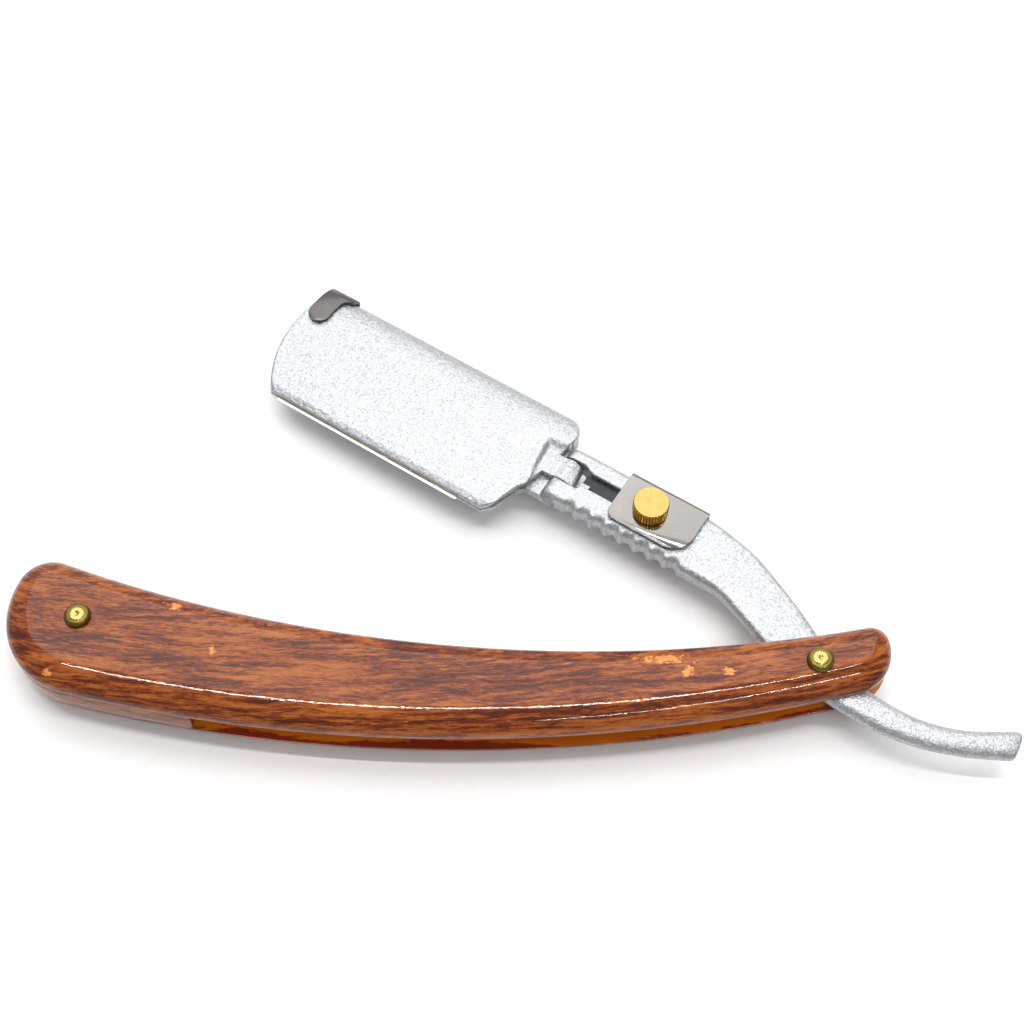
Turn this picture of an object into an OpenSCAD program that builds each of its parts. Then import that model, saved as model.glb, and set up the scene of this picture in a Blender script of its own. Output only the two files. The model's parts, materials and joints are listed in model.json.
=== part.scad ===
// Folding barber's razor for half double-edge blades, lying on its back side.
// Row frame: the origin is on the fold axis, level with the outer ends of the handle pins
// on the back. The handle runs along -X. All sizes are in millimetres.
// The arm is drawn in its own frame: the fold axis is the origin, +X is the tail, -X the
// toe of the head, +Y the spine side, -Y the cutting edge, and z = 0 is the blade's plane.

/* [Handle] */
// Distance between the two handle pins
pin_pitch = 114.1; // [112:0.1:116]
// Thickness of each scale
scale_t = 3.3; // [2.8:0.1:3.6]
// Gap between the two scales, which takes the arm
scale_gap = 3.4; // [3.4:0.1:4]
// How far in the rounded outer edge of a scale starts
edge_inset = 3.2; // [2.6:0.1:3.2]
// Height of that rounded edge
edge_h = 2.7; // [2:0.1:2.7]
// How much further down the lower edge of the back scale reaches
back_drop = 0.3; // [0:0.05:0.6]
// Height of each rivet collar
collar_h = 1; // [0.8:0.1:1.2]
// Radius of the handle pins
pin_r = 1.2; // [1:0.05:1.4]

/* [Arm] */
// Angle of the arm from its closed direction
rest_angle = -29.2; // [-60:0.1:-5]
// Half thickness of the grip part of the arm
grip_half = 1.9; // [1.8:0.05:2]
// Half thickness of the arm at the pivot and the tail
tang_half = 1.4; // [1.3:0.05:1.4]
// Number of thumb notches along the grip
notches = 8; // [4:1:8]

/* [Head] */
// Height of the blade cover's face at its lower edge, above the blade's plane
lip_h = 1.2; // [1:0.05:1.4]
// Height of the blade cover's face where the spine starts to round off
spine_h = 2.2; // [2:0.05:2.4]
// How far the cutting edge stands out of the head
blade_out = 0.65; // [0.4:0.05:0.9]

/* [Lock] */
// Thickness of the slider's sheet steel
sheet = 0.6; // [0.5:0.05:0.6]
// Radius of the thumb knob
knob_r = 2.95; // [2.6:0.05:3.2]
// Height of the thumb knob
knob_h = 2.7; // [2.2:0.1:3]

/* [Hidden] */
$fn = 64;

// Fits
fixed_gap = 0.02;
running_gap = 0.05;
washer_t = 0.25;
washer_r = 3;
collar_r = 2.05;

// Heights in the row frame
mid_z = collar_h + scale_t + scale_gap / 2;
top_z = 2 * mid_z;

// Handle outline: two long arcs joined by a large and a small round at each end
low_y = -15.45;
low_x = -70;
low_r = 252;
high_y = -0.05;
high_x = -50;
high_r = 236;
butt_x = -pin_pitch - 12.2;
butt_r = 14;
butt_corner_r = 5.3;
min_corner_r = 0.6;
tip_x = 11.6;
tip_r = 7.4;
tip_corner_r = 2.8;
edge_steps = 4;
edge_turn = 60;
spacer_x = -94.8;
toe_swing_r = 110.2;
toe_swing_y = -6;

// Head outline
head_low = -3.45;
spine_flat_y = 14.35;
spine_y = 20;
toe_r = 21.5;
toe_x = -108.6;
toe_y = 10.5;
heel_r = 4.2;
heel_x = -53;
neck_h = 1.25;
leaf_z = 0.05;
cover_z = 0.08;
bevel_w = 1.15;
lip_wall = 0.45;

// Arm outline
grip_low = 4;
grip_high = 14.85;
grip_end_x = -26.2;
corner_r = 1.1;
slot_y = 10.06;
slot_w = 2.82;
slot_end_x = -29.8;
pocket_w = 4.75;
pocket_x = -48;
nib = [1.7, 1.4, 0.4];
nib_y = 8;
nib_z = 1.12;
notch_pitch = 2.8;
notch_x = -47.4;
notch_r = 1.5;
notch_depth = 0.45;

// Cover hinge
hinge_x = -51.25;
hinge_r = 0.8;
hinge_head_r = 1.15;
hinge_head_h = 0.45;
knuckle_r = 1.85;
lug_w = 4.45;
lug_r = 1.78;
lug_tail_x = -49.8;
lug_tail_z = 0.1;
lug_tail_r = 1.4;

// Blade: a double-edge blade snapped in half
blade_t = 0.1;
blade_w = 11;
edge_x = [-101.7, -64.3];
blade_x = [-104.5, -61.5];
shoulder = 3;
stud_x = [-93, -73];
stud_r = 1.1;

// Lock
slider_x = [-41.5, -26.9];
slider_y = [5.6, 15.5];
slider_z = 2.05;
slider_corners = [1.8, 3.8];
screw_x = -35.4;
screw_r = 1;
tongue_x = [-47.9, -34];
tongue_w = 2.6;
tongue_z = [0.3, 1.05];
knob_z = slider_z + sheet + 0.15;
knurls = 36;
knurl_depth = 0.14;
nut_h = 1.2;
nut_r = 2.4;

// Toe clip
clip_x = [-107.5, -103.4];
clip_band_x = -101.9;
clip_t = 0.55;
clip_air = 0.35;
clip_end_y = [11.8, 7.6];
clip_band_y = 18.9;
clip_rivet = [-104.6, 9.9];
clip_rivet_r = 0.7;
clip_rivet_head_r = 1.3;

// ---- Functions ----
// Points along an arc with centre c
function arc(c, r, a0, a1, n) =
    [for (i = [0:n]) let (a = a0 + (a1 - a0) * i / n) c + r * [cos(a), sin(a)]];

// Where two circles meet, left of the line from c1 to c2 for side = 1
function meet(c1, r1, c2, r2, side) =
    let (d = norm(c2 - c1), u = (c2 - c1) / d, a = (r1 * r1 - r2 * r2 + d * d) / (2 * d))
    c1 + a * u + side * sqrt(r1 * r1 - a * a) * [-u[1], u[0]];

// Angle of the direction from a to b
function angle(a, b) = atan2(b[1] - a[1], b[0] - a[0]);

// Handle outline moved in by e, with its lower edge raised by step. The small rounds of the
// ends keep at least the radius min_corner_r.
function handle_outline(e, step) =
    let (low_c = [low_x, low_y + step + low_r], high_c = [high_x, high_y + high_r],
         butt_cx = butt_x + butt_r, tip_cx = tip_x - tip_r,
         butt_c = [butt_cx, low_c[1] - sqrt(pow(low_r - butt_r, 2) - pow(butt_cx - low_x, 2))],
         tip_c = [tip_cx, low_c[1] - sqrt(pow(low_r - tip_r, 2) - pow(tip_cx - low_x, 2))],
         butt_k = max(butt_corner_r - e, min_corner_r),
         tip_k = max(tip_corner_r - e, min_corner_r),
         butt_s = meet(butt_c, butt_r - e - butt_k, high_c, high_r + e + butt_k, 1),
         tip_s = meet(tip_c, tip_r - e - tip_k, high_c, high_r + e + tip_k, -1))
    concat(arc(low_c, low_r - e, angle(low_c, butt_c), angle(low_c, tip_c), 22),
           arc(tip_c, tip_r - e, angle(low_c, tip_c) + 6, angle(tip_c, tip_s) - 4, 8),
           arc(tip_s, tip_k, angle(tip_c, tip_s) + 4, angle(tip_s, high_c), 7),
           arc(high_c, high_r + e, angle(high_c, tip_s) - 1, angle(high_c, butt_s) + 1, 22),
           arc(butt_s, butt_k, angle(butt_s, high_c), angle(butt_c, butt_s) - 4, 8),
           arc(butt_c, butt_r - e, angle(butt_c, butt_s) + 4, angle(low_c, butt_c) + 355, 12));

// Curve through the points of list p, with n steps between two of them
function curve(p, n) =
    let (last = len(p) - 1)
    concat([for (i = [0:last - 1]) for (j = [0:n - 1])
            let (t = j / n, a = p[max(i - 1, 0)], b = p[i], c = p[i + 1], d = p[min(i + 2, last)])
            b + t * ((c - a) + t * ((2 * a - 5 * b + 4 * c - d) + t * (3 * b - a - 3 * c + d))) / 2],
           [p[last]]);

// Height of the cover's face above the blade's plane at y
function face_z(y) =
    let (y0 = head_low + bevel_w) lip_h + (y - y0) / (spine_flat_y - y0) * (spine_h - lip_h);

// Cross-section of one leaf of the head, in (y, z), from z = base up
function leaf_section(base, low) =
    concat([[low, base], [low, lip_wall], [low + bevel_w, lip_h]],
           [for (i = [0:12]) let (a = 90 - 90 * i / 12)
            [spine_flat_y + (spine_y - spine_flat_y) * cos(a), max(spine_h * sin(a), base)]]);

// Outline of the head from the heel corner round the toe, with its lower edge at low
function head_outline(low) =
    let (c = [toe_x + toe_r, toe_y], a0 = asin((spine_y - toe_y) / toe_r),
         a1 = asin((low - toe_y) / toe_r))
    concat(arc([heel_x - heel_r, spine_y - heel_r], heel_r, 0, 90, 8),
           arc(c, toe_r, 180 - a0, 180 - a1, 20),
           [[-59.8, low], [-58.1, -1.7], [-57.35, 0.8], [-56.5, 3.1], [-55.7, grip_low]]);

// Stations of the shank and tail: lower edge point, upper edge point, half thickness
SHANK = [[grip_end_x - 0.5, grip_low + 0.03, grip_end_x - 0.5, grip_high - 0.03, grip_half - 0.03],
         [-23.5, 3.95, -22.3, 14.3, grip_half - 0.08],
         [-19.5, 3.8, -16.8, 12.95, (grip_half + tang_half) / 2],
         [-15, 2.3, -11, 10.5, tang_half],
         [-9.5, 0.1, -5.5, 7.7, tang_half],
         [-3.5, -2.1, 0.5, 4.3, tang_half],
         [2, -3.1, 4.6, 2.6, tang_half],
         [7.5, -3.5, 8.7, 1.8, tang_half],
         [13.5, -3.3, 13.2, 1.55, tang_half],
         [19.3, -2.15, 17.8, 2, tang_half],
         [24.9, 0, 22.8, 3.65, tang_half],
         [28.7, 1.95, 26.8, 5.9, tang_half],
         [31.1, 3.3, 30.2, 8, tang_half * 0.95],
         [31.5, 3.9, 31.1, 7.6, tang_half * 0.7]];

// Rounded rectangle from 0 to w across and from -half to half in height
function bar_section(w, half) =
    let (r = min(corner_r, half * 0.8), h = half - r)
    [for (q = [[w - r, h, 0], [r, h, 90], [r, -h, 180], [w - r, -h, 270]])
     for (i = [0:3]) let (a = q[2] + 30 * i) [q[0] + r * cos(a), q[1] + r * sin(a)]];

// Ring of points round one station of the shank
function shank_ring(s) =
    let (lo = [s[0], s[1]], hi = [s[2], s[3]], u = (hi - lo) / norm(hi - lo))
    [for (q = bar_section(norm(hi - lo), s[4])) let (p = lo + q[0] * u) [p[0], p[1], q[1]]];

// ---- Shared modules ----
// Closed skin over a list of rings that have the same number of points
module loft(rings) {
    n = len(rings[0]);
    m = len(rings);
    points = [for (r = rings) each r];
    sides = [for (k = [0:m - 2]) for (i = [0:n - 1])
             let (a = k * n + i, b = k * n + (i + 1) % n) each [[a, b + n, b], [a, a + n, b + n]]];
    first = [for (i = [0:n - 1]) i];
    last = [for (i = [n - 1:-1:0]) (m - 1) * n + i];
    polyhedron(points, concat(sides, [first, last]), convexity = 8);
}

// Places arm parts in the row frame
module on_arm() {
    translate([0, 0, mid_z]) rotate([0, 0, rest_angle]) children();
}

// Extrudes a (y, z) outline along x from x0 to x1
module along_x(x0, x1) {
    translate([x0, 0, 0]) rotate([90, 0, 90]) linear_extrude(x1 - x0) children();
}

// Cylinder along y from y0 to y1 at (x, z)
module rod_y(x, z, r, y0, y1) {
    translate([x, y0, z]) rotate([-90, 0, 0]) cylinder(r = r, h = y1 - y0);
}

// Cylinder along z from z0 to z1 at (x, y)
module rod_z(x, y, r, z0, z1) {
    translate([x, y, z0]) cylinder(r = r, h = z1 - z0);
}

// Cylinders at both pin positions, from z0 to z1
module pin_bores(r, z0, z1) {
    rod_z(0, 0, r, z0, z1);
    rod_z(-pin_pitch, 0, r, z0, z1);
}

// One handle scale, its inner face on z = 0
module scale_plate(step) {
    levels = concat([[0, 0]], [for (i = [0:edge_steps]) let (a = edge_turn * i / edge_steps)
        [edge_inset * (1 - cos(a)) / (1 - cos(edge_turn)),
         scale_t - edge_h + edge_h * sin(a) / sin(edge_turn)]]);
    difference() {
        loft([for (l = levels) [for (p = handle_outline(l[0], step)) [p[0], p[1], l[1]]]]);
        pin_bores(pin_r + fixed_gap, -1, scale_t + 1);
    }
}

// Domed collar on z = 0
module collar() {
    inner = pin_r + fixed_gap;
    rotate_extrude() polygon(concat([[inner, 0], [collar_r, 0], [collar_r, collar_h * 0.35]],
        [for (i = [1:5]) let (a = 15 * i)
         [inner + 0.25 + (collar_r - inner - 0.25) * cos(a), collar_h * (0.35 + 0.65 * sin(a))]],
        [[inner + 0.2, collar_h], [inner, collar_h]]));
}

// Peened pin on the pin axis: flat on the back, slightly domed in front
module peened_pin() {
    rotate_extrude() polygon([[0, 0], [pin_r, 0], [pin_r, top_z - 0.02], [pin_r * 0.8, top_z + 0.1],
                              [0, top_z + 0.16]]);
}

module washer(z) {
    translate([0, 0, z]) difference() {
        cylinder(r = washer_r, h = washer_t);
        translate([0, 0, -1]) cylinder(r = pin_r + fixed_gap, h = washer_t + 2);
    }
}

// ---- Handle ----
module front_scale() {
    color("sienna") translate([0, 0, mid_z + scale_gap / 2]) scale_plate(0);
}

module back_scale() {
    color("sienna") translate([0, 0, mid_z - scale_gap / 2]) mirror([0, 0, 1])
        scale_plate(-back_drop);
}

module butt_spacer() {
    color("tan") translate([0, 0, mid_z - scale_gap / 2]) difference() {
        linear_extrude(scale_gap) difference() {
            polygon(handle_outline(0, -back_drop / 2));
            translate([spacer_x, -50]) square([200, 100]);
            intersection() {
                circle(r = toe_swing_r, $fn = 360);
                translate([-150, toe_swing_y]) square([200, 100]);
            }
        }
        translate([-pin_pitch, 0, -1]) cylinder(r = pin_r + fixed_gap, h = scale_gap + 2);
    }
}

module butt_pin() {
    color("gold") translate([-pin_pitch, 0, 0]) peened_pin();
}

module butt_front_collar() {
    color("olive") translate([-pin_pitch, 0, top_z - collar_h]) collar();
}

module butt_back_collar() {
    color("olive") translate([-pin_pitch, 0, collar_h]) mirror([0, 0, 1]) collar();
}

module pivot_pin() {
    color("gold") peened_pin();
}

module pivot_front_collar() {
    color("olive") translate([0, 0, top_z - collar_h]) collar();
}

module pivot_back_collar() {
    color("olive") translate([0, 0, collar_h]) mirror([0, 0, 1]) collar();
}

module front_washer() {
    color("goldenrod") washer(mid_z + scale_gap / 2 - washer_t);
}

module back_washer() {
    color("goldenrod") washer(mid_z - scale_gap / 2);
}

// ---- Arm ----
// Lug pocket and lock slot through the grip
module slot_cut() {
    y0 = slot_y - pocket_w / 2;
    y1 = slot_y + pocket_w / 2;
    s0 = slot_y - slot_w / 2;
    s1 = slot_y + slot_w / 2;
    translate([0, 0, -5]) linear_extrude(10) {
        polygon([[hinge_x - knuckle_r - 0.05, y0], [pocket_x, y0], [pocket_x, s0], [slot_end_x, s0],
                 [slot_end_x, s1], [pocket_x + 0.9, s1], [pocket_x - 1.2, y1],
                 [hinge_x - knuckle_r - 0.05, y1]]);
        translate([slot_end_x, slot_y]) circle(r = slot_w / 2);
    }
}

// Back leaf of the head, with the studs that hold the blade
module back_leaf() {
    intersection() {
        mirror([0, 0, 1]) along_x(-115, -50) polygon(leaf_section(leaf_z, head_low - 0.15));
        translate([0, 0, -5]) linear_extrude(10) polygon(head_outline(head_low - 0.15));
    }
    for (x = stud_x) rod_z(x, head_low - blade_out + blade_w, stud_r, -1, 0.5);
}

// Rounded end of the fork round the hinge pin
module knuckle() {
    y0 = grip_low + 0.03;
    y1 = grip_high - 0.03;
    e = 0.9;
    rotate([-90, 0, 0]) rotate_extrude() polygon([[0, y0], [knuckle_r - e, y0],
        [knuckle_r - 0.3, y0 + 0.3], [knuckle_r, y0 + e], [knuckle_r, y1 - e],
        [knuckle_r - 0.3, y1 - 0.3], [knuckle_r - e, y1], [0, y1]]);
}

module tang() {
    color("silver") on_arm() difference() {
        union() {
            loft([for (s = curve(SHANK, 3)) shank_ring(s)]);
            along_x(hinge_x, grip_end_x) translate([grip_low, 0])
                polygon(bar_section(grip_high - grip_low, grip_half));
            translate([hinge_x, 0, 0]) knuckle();
            back_leaf();
            translate([-56.6, grip_low + 0.06, -knuckle_r])
                cube([6, grip_high - grip_low - 0.12, knuckle_r - leaf_z]);
        }
        difference() {
            slot_cut();
            // Nib left standing out of the slot's low side
            translate([pocket_x, nib_y, nib_z]) cube(nib);
        }
        rod_z(0, 0, pin_r + running_gap, -5, 5);
        rod_y(hinge_x, 0, hinge_r + fixed_gap, 0, 20);
        rod_y(hinge_x, 0, hinge_head_r + running_gap, grip_low - 3, grip_low + hinge_head_h);
        rod_z(clip_rivet[0], clip_rivet[1], clip_rivet_r + fixed_gap, -5, 0.5);
        for (i = [0:notches - 1]) rod_z(notch_x + notch_pitch * i, grip_low - notch_r + notch_depth,
                                        notch_r, -5, 5);
    }
}

module blade() {
    low = head_low - blade_out;
    color("ivory") on_arm() translate([0, 0, -blade_t / 2]) linear_extrude(blade_t) difference() {
        polygon([[edge_x[0] + 0.4, low], [edge_x[1] - 0.4, low], [edge_x[1], low + 0.4],
                 [edge_x[1], low + shoulder], [blade_x[1], low + shoulder], [blade_x[1], low + blade_w],
                 [blade_x[0], low + blade_w], [blade_x[0], low + shoulder],
                 [edge_x[0], low + shoulder], [edge_x[0], low + 0.4]]);
        for (x = stud_x) translate([x, low + blade_w]) circle(r = stud_r + 0.15);
    }
}

module cover_hinge_pin() {
    color("dimgray") on_arm() {
        rod_y(hinge_x, 0, hinge_r, grip_low + 0.3, grip_high - 0.1);
        rod_y(hinge_x, 0, hinge_head_r, grip_low - 0.05, grip_low + hinge_head_h - fixed_gap);
    }
}

// (y, z) section of the clip: bent sheet that clears the spine by clip_air
module clip_section() {
    w = spine_y - spine_flat_y + clip_air;
    h = spine_h + 0.05;
    inner = [for (i = [0:16]) let (a = 90 - 180 * i / 16) [spine_flat_y + w * cos(a), h * sin(a)]];
    outer = [for (i = [16:-1:0]) let (a = 90 - 180 * i / 16)
             [spine_flat_y + (w + clip_t) * cos(a), (h + clip_t) * sin(a)]];
    front = face_z(clip_end_y[0]) + 0.05;
    back = -face_z(clip_end_y[1]) - 0.05;
    polygon(concat([[clip_end_y[0], front]], inner, [[clip_end_y[1], back]],
                   [[clip_end_y[1], back - clip_t]], outer, [[clip_end_y[0], front + clip_t]]));
}

module toe_clip() {
    leg_r = (clip_x[1] - clip_x[0]) / 2;
    fillet_r = clip_band_x - clip_x[1];
    far_y = spine_y + 3;
    color("gray") on_arm() difference() {
        intersection() {
            along_x(clip_x[0], clip_band_x) clip_section();
            union() {
                linear_extrude(5) {
                    translate([clip_x[0] + leg_r, clip_end_y[0] + leg_r]) circle(r = leg_r);
                    translate([clip_x[0], clip_end_y[0] + leg_r]) square([2 * leg_r, 10]);
                    difference() {
                        translate([clip_x[0], clip_band_y - fillet_r]) square([10, 10]);
                        translate([clip_band_x, clip_band_y - fillet_r]) circle(r = fillet_r);
                    }
                }
                translate([0, 0, -5]) linear_extrude(5) translate([clip_x[0], clip_end_y[1]])
                    square([clip_band_x - clip_x[0], far_y - clip_end_y[1]]);
            }
        }
        rod_z(clip_rivet[0], clip_rivet[1], clip_rivet_r + fixed_gap, -5, 0);
    }
}

module toe_clip_rivet() {
    z = -face_z(clip_rivet[1]) - clip_t - 0.05;
    color("gray") on_arm() {
        rod_z(clip_rivet[0], clip_rivet[1], clip_rivet_r, z - 0.2, -0.4);
        rod_z(clip_rivet[0], clip_rivet[1], clip_rivet_head_r, z - 0.5, z - 0.05);
    }
}

// ---- Cover ----
module blade_cover() {
    neck_low = slot_y - lug_w / 2;
    neck_high = slot_y + lug_w / 2;
    color("silver") on_arm() difference() {
        union() {
            intersection() {
                along_x(-115, -50) polygon(leaf_section(cover_z, head_low));
                linear_extrude(10) polygon(head_outline(head_low));
            }
            along_x(-57, lug_tail_x) polygon([[neck_low, cover_z], [neck_high, cover_z],
                                              [neck_high, neck_h], [neck_low, neck_h]]);
            rod_y(hinge_x, 0, lug_r, neck_low, neck_high);
            rod_y(lug_tail_x, lug_tail_z, lug_tail_r, neck_low, neck_high - 0.9);
        }
        // Step from the raised face down to the neck
        translate([-57, grip_low - 1, neck_h]) cube([10, spine_flat_y - grip_low + 1, 5]);
        // Room for the fork's two arms
        translate([-54.5, 0, -5]) cube([10, neck_low, 10]);
        translate([heel_x - 0.3, neck_high, -5]) cube([10, 15.2 - neck_high, 10]);
        // Recesses over the blade studs
        for (x = stud_x) rod_z(x, head_low - blade_out + blade_w, stud_r + 0.2, -1, 0.65);
        // Bevel on the lug's end
        translate([lug_tail_x - 0.8, neck_high, -5]) rotate([0, 0, -28]) cube([6, 4, 10]);
        rod_y(hinge_x, 0, hinge_r + running_gap, 0, 20);
    }
}

// ---- Lock ----
module slider_plan() {
    x0 = slider_x[0];
    x1 = slider_x[1];
    y0 = slider_y[0];
    r0 = slider_corners[0];
    r1 = slider_corners[1];
    polygon(concat([[x0, slider_y[1]]], arc([x0 + r0, y0 + r0], r0, 180, 270, 6),
                   arc([x1 - r1, y0 + r1], r1, 270, 360, 8), [[x1, slider_y[1]]]));
}

module lock_slider() {
    y1 = slider_y[1];
    z1 = slider_z + sheet;
    bend = 1.2;
    section = concat([[0, slider_z], [0, z1]], arc([y1 - bend, z1 - bend], bend, 90, 0, 6),
                     arc([y1 - bend, bend - z1], bend, 0, -90, 6), [[0, -z1], [0, -slider_z]],
                     arc([y1 - bend, bend - z1], bend - sheet, -90, 0, 6),
                     arc([y1 - bend, z1 - bend], bend - sheet, 0, 90, 6));
    color("lightgray") on_arm() difference() {
        intersection() {
            along_x(slider_x[0], slider_x[1]) polygon(section);
            translate([0, 0, -5]) linear_extrude(10) slider_plan();
        }
        rod_z(screw_x, slot_y, screw_r + running_gap, -5, 5);
    }
}

module lock_tongue() {
    x0 = tongue_x[0];
    z0 = tongue_z[0];
    z1 = tongue_z[1];
    color("dimgray") on_arm() difference() {
        union() {
            translate([x0, slot_y - tongue_w / 2, z0]) cube([tongue_x[1] - x0, tongue_w, z1 - z0]);
            rod_z(screw_x, slot_y, tongue_w / 2, z0, slider_z);
        }
        rod_z(screw_x, slot_y, screw_r + running_gap, -5, 5);
    }
}

module lock_nut() {
    color("gray") on_arm() translate([screw_x, slot_y, -slider_z - sheet - nut_h]) difference() {
        cylinder(r = nut_r, h = nut_h, $fn = 6);
        translate([0, 0, -1]) cylinder(r = screw_r + running_gap, h = nut_h + 2);
    }
}

module lock_knob() {
    step = 180 / knurls;
    color("gold") on_arm() translate([screw_x, slot_y, 0]) {
        translate([0, 0, knob_z]) linear_extrude(knob_h - 0.3)
            polygon([for (i = [0:2 * knurls - 1]) (knob_r - knurl_depth * (i % 2))
                     * [cos(step * i), sin(step * i)]]);
        translate([0, 0, knob_z + knob_h - 0.3])
            cylinder(r1 = knob_r - knurl_depth, r2 = knob_r - 0.4, h = 0.3);
        translate([0, 0, knob_z - 0.15]) cylinder(r = 1.9, h = 0.15);
        translate([0, 0, -slider_z - sheet - nut_h - 0.3])
            cylinder(r = screw_r, h = knob_z + slider_z + sheet + nut_h + 0.4);
    }
}

front_scale();
back_scale();
butt_spacer();
butt_pin();
butt_front_collar();
butt_back_collar();
pivot_pin();
pivot_front_collar();
pivot_back_collar();
front_washer();
back_washer();
tang();
blade();
cover_hinge_pin();
toe_clip();
toe_clip_rivet();
blade_cover();
lock_slider();
lock_tongue();
lock_nut();
lock_knob();
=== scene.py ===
"""Looks of the folding barber's razor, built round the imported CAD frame.

Shapes are worked out in millimetres in one of two frames: the handle's, which is the row
frame, and the arm's, whose origin is on the fold axis with +X along the tail, +Y towards
the spine and z = 0 in the blade's plane.
"""

import json
from math import atan2, cos, degrees, hypot, pi, radians, sin, sqrt, tan

import bmesh
import bpy
from mathutils import Matrix, Vector, noise


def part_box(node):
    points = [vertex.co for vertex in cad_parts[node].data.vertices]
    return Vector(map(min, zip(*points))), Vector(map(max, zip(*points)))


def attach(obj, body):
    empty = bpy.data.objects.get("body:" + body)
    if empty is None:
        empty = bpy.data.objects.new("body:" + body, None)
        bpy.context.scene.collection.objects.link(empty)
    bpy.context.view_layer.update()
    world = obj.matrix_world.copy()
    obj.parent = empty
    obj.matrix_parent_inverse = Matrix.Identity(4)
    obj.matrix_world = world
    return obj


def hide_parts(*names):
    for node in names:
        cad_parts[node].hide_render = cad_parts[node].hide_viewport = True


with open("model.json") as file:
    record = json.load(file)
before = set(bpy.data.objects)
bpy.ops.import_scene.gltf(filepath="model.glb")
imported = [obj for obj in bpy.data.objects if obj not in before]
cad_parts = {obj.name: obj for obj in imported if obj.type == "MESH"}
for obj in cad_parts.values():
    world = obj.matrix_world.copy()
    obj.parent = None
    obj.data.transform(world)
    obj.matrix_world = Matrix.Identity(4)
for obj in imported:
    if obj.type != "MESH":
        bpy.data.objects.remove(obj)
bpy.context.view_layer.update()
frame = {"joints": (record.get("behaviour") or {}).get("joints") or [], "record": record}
joints = {j["name"]: j for j in frame["joints"]}

# ---- Frames ----
MM = 0.001
ROW = Matrix.Scale(MM, 4)
FOLD = Vector(joints["arm_fold"]["pos_m"])
ALONG = Vector(joints["lock_slide"]["axis"]).normalized()
ACROSS = Vector((0, 0, 1)).cross(ALONG)
ARM = Matrix.Translation(FOLD) @ Matrix((
    (ALONG[0], ACROSS[0], 0, 0),
    (ALONG[1], ACROSS[1], 0, 0),
    (0, 0, 1, 0),
    (0, 0, 0, 1),
)) @ ROW


def arm_point(point):
    """A row-frame point in metres, in the arm's frame in millimetres."""
    return ARM.inverted() @ Vector(point)


# ---- Sizes read from the frame ----
MID_Z = FOLD.z / MM
PIN_PITCH = -frame["record"]["mounts"][1]["pos_m"][0] / MM
HINGE_X = arm_point(joints["cover_hinge"]["pos_m"]).x
SCREW = arm_point(joints["knob_turn"]["pos_m"])
FRONT_BOX = [[c / MM for c in corner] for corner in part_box("front_scale")]
BACK_BOX = [[c / MM for c in corner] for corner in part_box("back_scale")]
TOP_Z = 2 * MID_Z
SCALE_T = FRONT_BOX[1][2] - FRONT_BOX[0][2]
GAP_HALF = FRONT_BOX[0][2] - MID_Z

# ---- Sizes shared with the CAD model, in millimetres ----
EDGE_INSET = 3.2
EDGE_H = 2.7
EDGE_TURN = radians(60)
BACK_STEP = BACK_BOX[0][1] - FRONT_BOX[0][1]
PIN_R = 1.2
COLLAR_R = 2.05
COLLAR_H = 1.0
LOW_X, LOW_Y, LOW_R = -70, -15.45, 252
HIGH_X, HIGH_Y, HIGH_R = -50, -0.05, 236
BUTT_X, BUTT_R, BUTT_CORNER_R = -PIN_PITCH - 12.2, 14, 5.3
TIP_X, TIP_R, TIP_CORNER_R = 11.6, 7.4, 2.8
SPACER_X, SWING_R, SWING_Y = -94.8, 110.2, -6

HEAD_LOW = -3.45
LIP_H, BEVEL_W = 1.2, 1.15
SPINE_FLAT_Y, SPINE_Y, SPINE_H = 14.35, 20, 2.2
TOE_R, TOE_X, TOE_Y = 21.5, -108.6, 10.5
HEEL_R, HEEL_X, HEEL_LOW_X = 4.2, -53, -59.8
HEEL_LINE = ((-1.7, -58.1), (0.8, -57.35), (3.1, -56.5), (4.0, -55.7))
FACE_END = ((3.4, -55.6), (8.2, -56.8), (10.9, -57.1), (13.7, -57.5))
NECK_H = 1.25
BLADE_OUT, BLADE_W, BLADE_T = 0.65, 11, 0.1
EDGE_X, BLADE_X = (-101.7, -64.3), (-104.5, -61.5)
STUD_X, STUD_R = (-93, -73), 1.1

GRIP_LOW, GRIP_HIGH, GRIP_END_X = 4, 14.85, -26.2
GRIP_HALF, TANG_HALF, CORNER_R = 1.9, 1.4, 1.1
SLOT_Y, SLOT_W, SLOT_END_X = 10.06, 2.82, -29.8
POCKET_W, POCKET_X = 4.75, -48
NOTCH_X, NOTCH_PITCH, NOTCH_R, NOTCH_DEPTH, NOTCHES = -47.4, 2.8, 1.5, 0.45, 8
KNUCKLE_R, HINGE_R, HINGE_HEAD_R = 1.85, 0.8, 1.15
LUG_W, LUG_R = 4.45, 1.78
SHEET, SLIDER_Z = 0.6, 2.05
SLIDER_X, SLIDER_Y, SLIDER_CORNERS = (-41.5, -26.9), (5.6, 15.5), (1.8, 3.8)
KNOB_R, KNOB_H, KNURLS = 2.95, 2.7, 36
KNOB_Z = SLIDER_Z + SHEET + 0.15
NUT_R, NUT_H = 2.4, 1.2
CLIP_X, CLIP_BAND_X = (-107.5, -103.4), -101.9
CLIP_T, CLIP_AIR, CLIP_BAND_Y = 0.55, 0.35, 18.9
CLIP_END_Y = (11.8, 7.6)
CLIP_RIVET, CLIP_LIFT = (-104.6, 9.9), 0.05
WASHER_R, WASHER_T = 3.0, 0.25
TONGUE_X, TONGUE_W, TONGUE_Z = (-47.9, -34), 2.6, (0.3, 1.05)

# ---- Sizes that only the visual model has, in millimetres ----
MIN_CORNER_R = 0.5
SCALE_INNER_R = 0.05
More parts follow.
